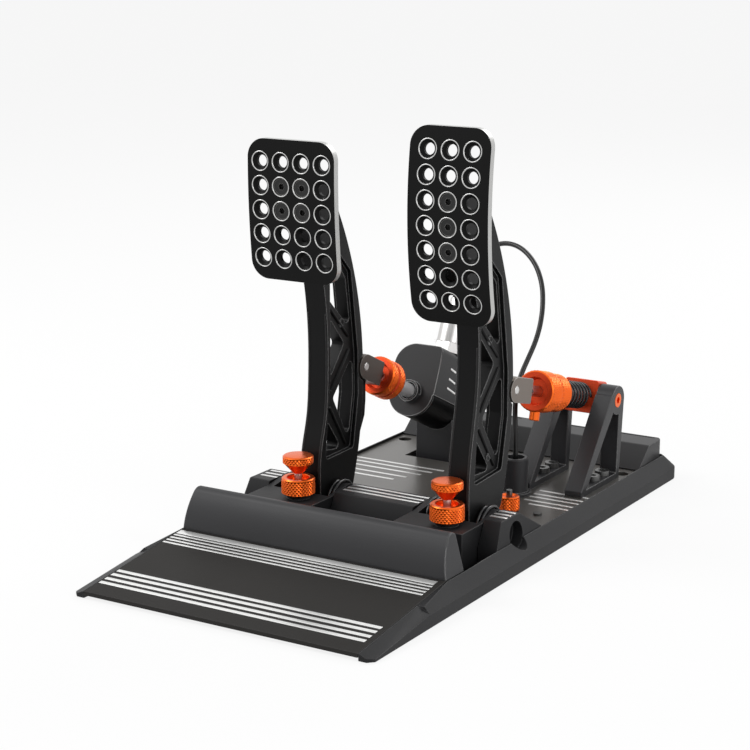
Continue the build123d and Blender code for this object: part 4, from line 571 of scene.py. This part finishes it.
def off_line(place):
    """How far a place is from the brake cylinder's line."""
    way = place - BRAKE_PIN
    return (way - BRAKE_AXIS * way.dot(BRAKE_AXIS)).length


cover_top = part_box("rear_cover")[1][2] - COVER_TOP_BAND * MM
softened("rear_cover", cast_soft, 1.0, segments=3, outer=lambda place: place.z > cover_top)
softened(
    "cylinder_cover", shell_grey, 0.9, outer=lambda place: off_line(place) > BORES_REACH * MM
)

# Solids that keep their own mesh and only get a material

for node, material in (
    ("brake_plate_screws", black_steel),
    ("throttle_plate_screws", black_steel),
    ("brake_push_rod", chrome),
    ("throttle_push_rod", steel),
    ("brake_axle", steel),
    ("throttle_axle", steel),
    ("brake_clevis_pin", steel),
    ("throttle_clevis_pin", steel),
    ("brake_stop_screw", steel),
    ("throttle_stop_screw", steel),
    ("pivot_bearings", steel),
    ("throttle_magnet", alloy),
    ("throttle_spring_seat", steel),
    ("throttle_set_screw", orange),
    ("bump_pads", rubber),
    ("cable_grommet", rubber),
    ("piston_seals", rubber),
    ("brake_pistons", alloy),
    ("control_board", board),
    ("throttle_sensor", board),
):
    mesh = frame["nodes"][node].data
    mesh.materials.clear()
    mesh.materials.append(material)

# Knurled knobs and nuts, each from begin to end along its line, with outlines of (radius, distance)

ROD_BORE = 4.1
RECESS_DEPTH, RECESS_MOUTH = 5.0, 10.0


def recess(floor_radius, begin):
    """The front of a knob on a rod: its bore, a recess with a flat floor, and the recess's lip."""
    floor = begin + RECESS_DEPTH
    return [
        (ROD_BORE, floor),
        (floor_radius, floor),
        (floor_radius + 0.7, floor - 0.6),
        (RECESS_MOUTH, begin + 0.4),
        (RECESS_MOUTH + 0.5, begin),
    ]


def front_nut_outline(radius, begin, end):
    return recess(8.7, begin) + [
        (radius - 1.3, begin),
        (radius - 0.3, begin + 0.9),
        (radius, begin + 1.3, end - 1.3),
        (radius - 0.3, end - 0.9),
        (radius - 1.3, end),
        (ROD_BORE, end),
    ]


def rear_nut_outline(radius, begin, end):
    return [
        (ROD_BORE, begin),
        (radius - 2.4, begin),
        (radius - 1.6, begin + 0.3),
        (radius - 1.3, begin + 1.1),
        (radius - 0.2, begin + 1.7),
        (radius, begin + 2.1, end - 1.4),
        (radius - 0.2, end - 1.0),
        (radius - 1.2, end),
        (ROD_BORE, end),
    ]


def preload_knob_outline(radius, begin, groove, end):
    return recess(8.8, begin) + [
        (radius - 1.2, begin),
        (radius - 0.2, begin + 1.0),
        (radius, begin + 1.3, groove - 1.8),
        (radius - 0.3, groove - 1.3),
        (radius - 1.3, groove - 0.5),
        (radius - 1.3, groove + 0.5),
        (radius - 0.3, groove + 1.3),
        (radius, groove + 1.8, end - 1.4),
        (radius - 0.2, end - 1.0),
        (radius - 1.2, end),
        (ROD_BORE, end),
    ]


def stop_nut_outline(bore, radius, begin, end):
    return [
        (bore, begin),
        (radius - 1.4, begin),
        (radius - 0.4, begin + 0.7),
        (radius, begin + 1.1, end - 1.2),
        (radius - 0.3, end - 0.7),
        (radius - 1.0, end),
        (radius - 3.6, end),
        (radius - 4.0, end - 0.4),
        (radius - 4.4, end - 3.0),
        (bore, end - 3.0),
    ]


def stop_knob_outline(screw, radius, begin, end):
    return [
        (screw, begin),
        (screw + 0.7, begin),
        (radius - 1.0, end - 6.0),
        (radius - 0.3, end - 5.6),
        (radius, end - 5.2, end - 1.2),
        (radius - 0.2, end - 0.9),
        (radius - 1.0, end - 0.2),
        (radius - 2.2, end),
        (0.0, end),
        (0.0, end - 3.0),
        (screw, end - 3.0),
    ]


def clamp_nut_outline(bore, radius, begin, end):
    return [
        (bore, begin),
        (radius - 1.1, begin),
        (radius - 0.3, begin + 0.6),
        (radius, begin + 1.0, end - 1.2),
        (radius - 0.3, end - 0.7),
        (radius - 1.0, end),
        (bore + 3.1, end),
        (bore + 2.1, end - 1.0),
        (bore, end - 1.0),
    ]


knobs = [
    (
        "throttle_front_nut",
        THROTTLE_PIN,
        THROTTLE_AXIS,
        front_nut_outline(radius=15.3, begin=47.0, end=64.5),
        "throttle_front_nut",
        72,
    ),
    (
        "throttle_rear_nut",
        THROTTLE_PIN,
        THROTTLE_AXIS,
        rear_nut_outline(radius=14.2, begin=65.1, end=81.6),
        "throttle_rear_nut",
        66,
    ),
    (
        "brake_preload_knob",
        BRAKE_PIN,
        BRAKE_AXIS,
        preload_knob_outline(radius=14.8, begin=32.0, groove=41.4, end=51.0),
        "brake_knob",
        70,
    ),
]
for name, x in (("brake", BRAKE_X), ("throttle", THROTTLE_X)):
    foot = at(x, STOP_BACK, 0)
    nut = stop_nut_outline(bore=2.85, radius=12.0, begin=35.9, end=47.9)
    knob = stop_knob_outline(screw=2.8, radius=11.0, begin=51.0, end=64.0)
    knobs.append((f"{name}_stop_nut", foot, UP, nut, f"{name}_stop_nut", 58))
    knobs.append((f"{name}_stop_knob", foot, UP, knob, f"{name}_stop", 54))
clamp_nut = clamp_nut_outline(bore=2.3, radius=7.5, begin=18.8, end=29.8)
knobs.append(("clamp_nut", at(THROTTLE_X, CLAMP_NUT_BACK, 0), UP, clamp_nut, "clamp_nut", 40))
for node, origin, axis, outline, body, columns in knobs:
    spun(node + "_piece", origin, axis, outline, orange, body, columns, replaces=[node])

# The front faces of the two recessed knobs are a deeper red, painted shade for the recess

FACING = 0.75
for name, axis in (("throttle_front_nut_piece", THROTTLE_AXIS), ("brake_preload_knob_piece", BRAKE_AXIS)):
    mesh = bpy.data.objects[name].data
    mesh.materials.append(recess_shade_red)
    for polygon in mesh.polygons:
        polygon.material_index = int(polygon.normal.dot(axis) < -FACING)

# Return springs, two coils on each pivot, as (start beside the pedal's middle, turns)

RETURN_RADIUS, RETURN_PITCH, RETURN_WIRE = 16.5, 3.1, 1.3
RETURN_COILS = ((-28.5, 5.5), (11.0, 1.25))
SPRING_SMOOTH = 60.0

bm = bmesh.new()
for x in (BRAKE_X, THROTTLE_X):
    for start, turns in RETURN_COILS:
        origin = at(x + start, PIVOT_BACK, PIVOT_HEIGHT)
        add_tube(bm, coil_points(origin, RIGHT, RETURN_RADIUS, RETURN_PITCH, turns), RETURN_WIRE)
return_springs = placed("return_springs_piece", bm, spring_black, "base", SPRING_SMOOTH)
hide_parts("return_springs")

# Throttle spring, between its seat and the trunnion

SPRING_FRONT = 85.0
SPRING_ROOM, SPRING_ENDS = 0.2, 1.0
SPRING_RADIUS, SPRING_WIRE, SPRING_TURNS = 9.2, 1.0, 7.0
spring_rear = TRUNNION - TRUNNION_HALF - SPRING_ROOM
spring_pitch = (spring_rear - SPRING_FRONT - SPRING_ENDS) / SPRING_TURNS

bm = bmesh.new()
spring_start = THROTTLE_PIN + THROTTLE_AXIS * SPRING_FRONT * MM
spring_points = coil_points(spring_start, THROTTLE_AXIS, SPRING_RADIUS, spring_pitch, SPRING_TURNS)
add_tube(bm, spring_points, SPRING_WIRE)
throttle_spring = placed(
    "throttle_spring_piece", bm, spring_black, "throttle_rod", SPRING_SMOOTH
)
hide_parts("throttle_spring")
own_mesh(throttle_spring)

# Elastomer stack in the cylinder, three pucks with bulging sides

STACK_BEGIN, STACK_END = 141.6, 171.2
PUCK_PITCH = 9.86
PUCK_SIDE = ((9.4, 0.0), (11.0, 0.9), (11.9, 2.6), (12.2, 4.9), (11.9, 7.2), (11.0, 8.9), (9.4, 9.8))
pucks = [
    (radius, STACK_BEGIN + part * PUCK_PITCH + shift) for part in range(3) for radius, shift in PUCK_SIDE
]
elastomers = spun(
    "brake_elastomers_piece",
    BRAKE_PIN,
    BRAKE_AXIS,
    [(0.0, STACK_BEGIN)] + pucks + [(0.0, STACK_END)],
    rubber,
    "base",
    columns=40,
    replaces=["brake_elastomers"],
)
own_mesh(elastomers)

# Bright lines milled into the footrest, beam and deck

LINE_HEIGHT = 0.25
FOOT_FRONT_HEIGHT, FOOT_RISE, FOOT_LENGTH = 5.0, 13.0, 107.0
BEAM_TOP, DECK_TOP = 35.5, 15.8
WIDE_LINE, NARROW_LINE, BEAM_LINE, DECK_LINE = 3.2, 2.0, 2.6, 2.6


def bars(name, rows, height_at, body):
    """Adds bright bars, one for each (left, right, front, rear), on a surface whose height is given."""
    bm = bmesh.new()
    for left, right, front, rear in rows:
        corners = [
            at(left, front, height_at(front)),
            at(right, front, height_at(front)),
            at(right, rear, height_at(rear)),
            at(left, rear, height_at(rear)),
        ]
        add_bar(bm, corners, LINE_HEIGHT)
    placed(name, bm, silver, body)


def line_at(left, right, back, width):
    """A bar's sides, from its middle and width."""
    return (left, right, back - width / 2, back + width / 2)


def ramp(back):
    """The footrest's height at a place behind the front edge."""
    return FOOT_FRONT_HEIGHT + FOOT_RISE / FOOT_LENGTH * back


foot_rows = [line_at(-104.0, 100.8, back, WIDE_LINE) for back in (15.6, 21.7, 28.2, 34.2)]
foot_rows += [line_at(-104.2, 100.8, back, NARROW_LINE) for back in (84.2, 88.3, 92.4, 96.6)]
foot_rows += [(-104.2, 100.2, 98.9, 104.6)]
bars("footrest_lines", foot_rows, ramp, "base")
beam_rows = [
    line_at(left, right, back, BEAM_LINE)
    for left, right in ((-99.5, -85.5), (-28.5, 33.5), (89.5, 102.0))
    for back in (195.6, 201.8, 208.4)
]
bars("beam_lines", beam_rows, lambda back: BEAM_TOP, "base")
deck_rows = [
    line_at(left, right, back, DECK_LINE)
    for left, right, back in (
        (-103.0, -23.5, 331.1),
        (-103.0, -29.0, 322.7),
        (-103.0, -33.6, 313.4),
        (-103.0, -39.6, 302.1),
        (-103.0, -45.0, 292.2),
        (62.5, 103.5, 324.2),
        (62.5, 103.5, 315.0),
        (62.5, 103.5, 307.5),
        (62.9, 103.5, 298.5),
        (70.5, 103.5, 290.5),
    )
]
bars("deck_lines", deck_rows, lambda back: DECK_TOP, "base")

# Plates with bright outer walls, and bright machined rims round their holes

HOLE_PITCH, ROW_PITCH = 16.6, 16.7
HOLE_REACH = 7.5
WALL_LEAN = 0.5
RIM_OUTLINE = ((6.15, -0.4), (6.3, 0.06), (6.45, 0.16), (6.75, 0.16), (6.9, 0.02), (6.75, -0.3))
RIM_STEPS, RIM_SMOOTH = 40, 50.0


def face_point(x, height, face_back, radius, apex):
    """A place on a plate's curved front face, and the way out of the face there."""
    lean = (height - apex) / radius
    flat = math.sqrt(1 - lean * lean)
    back = face_back + radius * (1 - flat)
    return at(x, back, height), Vector((0, -flat, lean))


def off_hole(place, hole):
    """How far a place is from a hole's line."""
    middle, out = hole
    return ((place - middle) - out * out.dot(place - middle)).length


for name, x, columns, rows, top, face, body in (
    ("brake", BRAKE_X, 4, 5, 269.5, (163.9, 570.0, 262.0), "brake_pedal"),
    ("throttle", THROTTLE_X, 3, 7, 285.5, (166.6, 310.0, 243.0), "throttle_pedal"),
):
    holes = [
        face_point(x + (column - (columns - 1) / 2) * HOLE_PITCH, top - k * ROW_PITCH, *face)
        for k in range(rows)
        for column in range(columns)
    ]
    plate_mesh = frame["nodes"][f"{name}_plate"].data.copy()
    plate_mesh.name = f"{name}_plate_piece"
    plate_mesh.materials.clear()
    plate_mesh.materials.append(plate_black)
    plate_mesh.materials.append(plate_wall)
    for polygon in plate_mesh.polygons:
        off = min(off_hole(polygon.center, hole) for hole in holes)
        polygon.material_index = int(abs(polygon.normal.y) < WALL_LEAN and off > HOLE_REACH * MM)
    plate = bpy.data.objects.new(f"{name}_plate_piece", plate_mesh)
    bpy.context.scene.collection.objects.link(plate)
    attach(plate, body)
    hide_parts(f"{name}_plate")
    bm = bmesh.new()
    for place, out in holes:
        upward = out.cross(RIGHT)
        grid = [
            add_ring(bm, place + out * proud * MM, RIGHT, upward, [radius] * RIM_STEPS)
            for radius, proud in RIM_OUTLINE
        ]
        for one, two in zip(grid, grid[1:] + grid[:1]):
            add_band(bm, one, two)
    bmesh.ops.recalc_face_normals(bm, faces=bm.faces)
    placed(f"{name}_plate_rims", bm, rim_silver, body, RIM_SMOOTH)

# Ribs and bosses on the arms

STRUT_OFFSET, STRUT_RIB, STRUT_SIDES = 5.0, 1.3, 16
SPINE_OFFSET, SPINE_RIB, SPINE_STEPS, SPINE_LIFT = 7.2, 0.9, 24, 0.3
SPINE_LOW = 40.0
BEFORE_ARMS = 100.0
BOSS_HEIGHT, BOSS_STEPS = 0.8, 32
BOSS_ROUND, BOSS_DISH, BOSS_SINK = 0.35, 0.5, 0.3
BOSS_FLAT_SHARE, BOSS_PIT = 0.45, 0.25
WEB_HALF = 5.0
RIB_SMOOTH = 40.0


def add_boss(bm, centre, radius):
    """Adds a low round boss, with a rounded edge and a dished middle, on a face that looks to the right."""
    outline = (
        (radius, -BOSS_SINK),
        (radius, BOSS_HEIGHT - BOSS_ROUND),
        (radius - BOSS_ROUND, BOSS_HEIGHT),
        (radius * BOSS_FLAT_SHARE, BOSS_HEIGHT),
        (BOSS_PIT, BOSS_HEIGHT - BOSS_DISH),
    )
    grid = [add_ring(bm, centre + RIGHT * out * MM, UP, BACK, [size] * BOSS_STEPS) for size, out in outline]
    for one, two in zip(grid, grid[1:]):
        add_band(bm, one, two)
    bm.faces.new(grid[0])
    bm.faces.new(grid[-1])


# Struts run between shares of the arm's height, as (back, up) from the pivot; bosses are (back, up, radius)

for name, x, body, tall, struts, bosses, high in (
    (
        "throttle",
        THROTTLE_X,
        "throttle_pedal",
        240.5,
        (
            ((-0.014, 0.597), (0.10, 0.485)),
            ((0.105, 0.449), (-0.002, 0.341)),
            ((-0.010, 0.296), (0.083, 0.168)),
        ),
        ((218.0, 151.5, 3.4), (217.3, 69.2, 3.0)),
        150.0,
    ),
    (
        "brake",
        BRAKE_X,
        "brake_pedal",
        242.5,
        (
            ((-0.014, 0.590), (0.09, 0.486)),
            ((0.094, 0.443), (-0.002, 0.340)),
            ((-0.010, 0.288), (0.073, 0.162)),
        ),
        ((218.8, 150.2, 3.4),),
        160.0,
    ),
):
    bm = bmesh.new()
    for ends in struts:
        for offset in (-STRUT_OFFSET, STRUT_OFFSET):
            first, last = (
                at(x + offset, PIVOT_BACK + back * tall, PIVOT_HEIGHT + up * tall) for back, up in ends
            )
            add_tube(bm, [first, first.lerp(last, 0.5), last], STRUT_RIB, sides=STRUT_SIDES)
    arm_tree = tree_of(f"{name}_arm")
    for offset in (-SPINE_OFFSET, SPINE_OFFSET):
        spine = []
        for k in range(SPINE_STEPS):
            height = SPINE_LOW + (high - SPINE_LOW) * k / (SPINE_STEPS - 1)
            hit = arm_tree.ray_cast(at(x + offset, BEFORE_ARMS, height), BACK)[0]
            if hit is not None:
                spine.append(hit + BACK * SPINE_LIFT * MM)
        add_tube(bm, spine, SPINE_RIB)
    for back, up, radius in bosses:
        add_boss(bm, at(x + WEB_HALF, back, up), radius)
    bmesh.ops.recalc_face_normals(bm, faces=bm.faces)
    placed(f"{name}_arm_ribs", bm, arm_black, body, RIB_SMOOTH)

# Bright bars on the cylinder cover's right side

COVER_BAR_WIDTH = 1.6
cover_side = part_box("cylinder_cover")[1][0] / MM
bm = bmesh.new()
for (back_a, up_a), (back_b, up_b) in (
    ((353.0, 91.1), (361.0, 86.3)),
    ((350.0, 83.8), (359.6, 77.9)),
    ((347.0, 77.3), (359.7, 69.8)),
):
    start, end = at(cover_side, back_a, up_a), at(cover_side, back_b, up_b)
    half = RIGHT.cross(end - start).normalized() * COVER_BAR_WIDTH / 2 * MM
    add_bar(bm, [start - half, end - half, end + half, start + half], LINE_HEIGHT)
bmesh.ops.recalc_face_normals(bm, faces=bm.faces)
placed("cylinder_cover_bars", bm, silver, "base")

# White floor, most of whose light to the camera is its own, so that the shadow on it stays faint

FLOOR_HALF, FLOOR_DROP = 40, 0.4
FLOOR_TONE, FLOOR_SHARE = 0.9, 0.85


def direct_ray(tree):
    """1 for a camera, glossy or transmission ray, and otherwise 0."""
    path = tree.nodes.new("ShaderNodeLightPath")
    value = path.outputs["Is Camera Ray"]
    for kind in ("Is Glossy Ray", "Is Transmission Ray"):
        either = tree.nodes.new("ShaderNodeMath")
        either.operation = "MAXIMUM"
        link(tree, value, either.inputs[0])
        link(tree, path.outputs[kind], either.inputs[1])
        value = either.outputs["Value"]
    return value


floor_mesh = bpy.data.meshes.new("floor")
floor_corners = [(x * FLOOR_HALF, y * FLOOR_HALF, 0) for x, y in ((-1, -1), (1, -1), (1, 1), (-1, 1))]
floor_mesh.from_pydata(floor_corners, [], [(0, 1, 2, 3)])
floor = bpy.data.objects.new("floor", floor_mesh)
floor.location = (0, 0, -FLOOR_DROP * MM)
bpy.context.scene.collection.objects.link(floor)
floor_look = bpy.data.materials.new("floor_white")
floor_look.use_nodes = True
tree = floor_look.node_tree
tree.nodes.clear()
output = tree.nodes.new("ShaderNodeOutputMaterial")
mix = tree.nodes.new("ShaderNodeMixShader")
matt = tree.nodes.new("ShaderNodeBsdfDiffuse")
matt.inputs["Color"].default_value = (*grey(FLOOR_TONE), 1)
glow = tree.nodes.new("ShaderNodeEmission")
glow.inputs["Color"].default_value = (1, 1, 1, 1)
glow.inputs["Strength"].default_value = 1.0
share = tree.nodes.new("ShaderNodeMath")
share.operation = "MULTIPLY"
share.inputs[1].default_value = FLOOR_SHARE
link(tree, direct_ray(tree), share.inputs[0])
link(tree, share.outputs["Value"], mix.inputs["Fac"])
link(tree, matt.outputs["BSDF"], mix.inputs[1])
link(tree, glow.outputs["Emission"], mix.inputs[2])
link(tree, mix.outputs["Shader"], output.inputs["Surface"])
floor_mesh.materials.append(floor_look)

# White background, dimmer where it lights the object

WORLD_LIGHT = 0.55
world = bpy.data.worlds.new("studio")
bpy.context.scene.world = world
world.use_nodes = True
tree = world.node_tree
tree.nodes.clear()
output = tree.nodes.new("ShaderNodeOutputWorld")
sky = tree.nodes.new("ShaderNodeBackground")
sky.inputs["Color"].default_value = (1, 1, 1, 1)
level = tree.nodes.new("ShaderNodeMapRange")
level.inputs["To Min"].default_value = WORLD_LIGHT
level.inputs["To Max"].default_value = 1.0
link(tree, direct_ray(tree), level.inputs["Value"])
link(tree, level.outputs["Result"], sky.inputs["Strength"])
link(tree, sky.outputs["Background"], output.inputs["Surface"])

# Lamps, which all shine at the object's middle

LAMP_TARGET = Vector((0, 0, 0.1))


def lamp(name, place, size, power):
    """A soft square lamp."""
    data = bpy.data.lights.new(name, "AREA")
    data.shape = "SQUARE"
    data.size = size
    data.energy = power
    lit = bpy.data.objects.new(name, data)
    lit.location = place
    lit.rotation_mode = "QUATERNION"
    lit.rotation_quaternion = (LAMP_TARGET - Vector(place)).to_track_quat("-Z", "Y")
    bpy.context.scene.collection.objects.link(lit)


lamp("key_left", (-1.1, -0.7, 1.3), size=0.9, power=14.0)
lamp("fill_right", (1.6, -0.2, 0.9), size=0.8, power=7.0)
lamp("back_top", (0.2, 1.5, 1.4), size=1.0, power=12.0)

bpy.context.scene.view_settings.view_transform = "Standard"
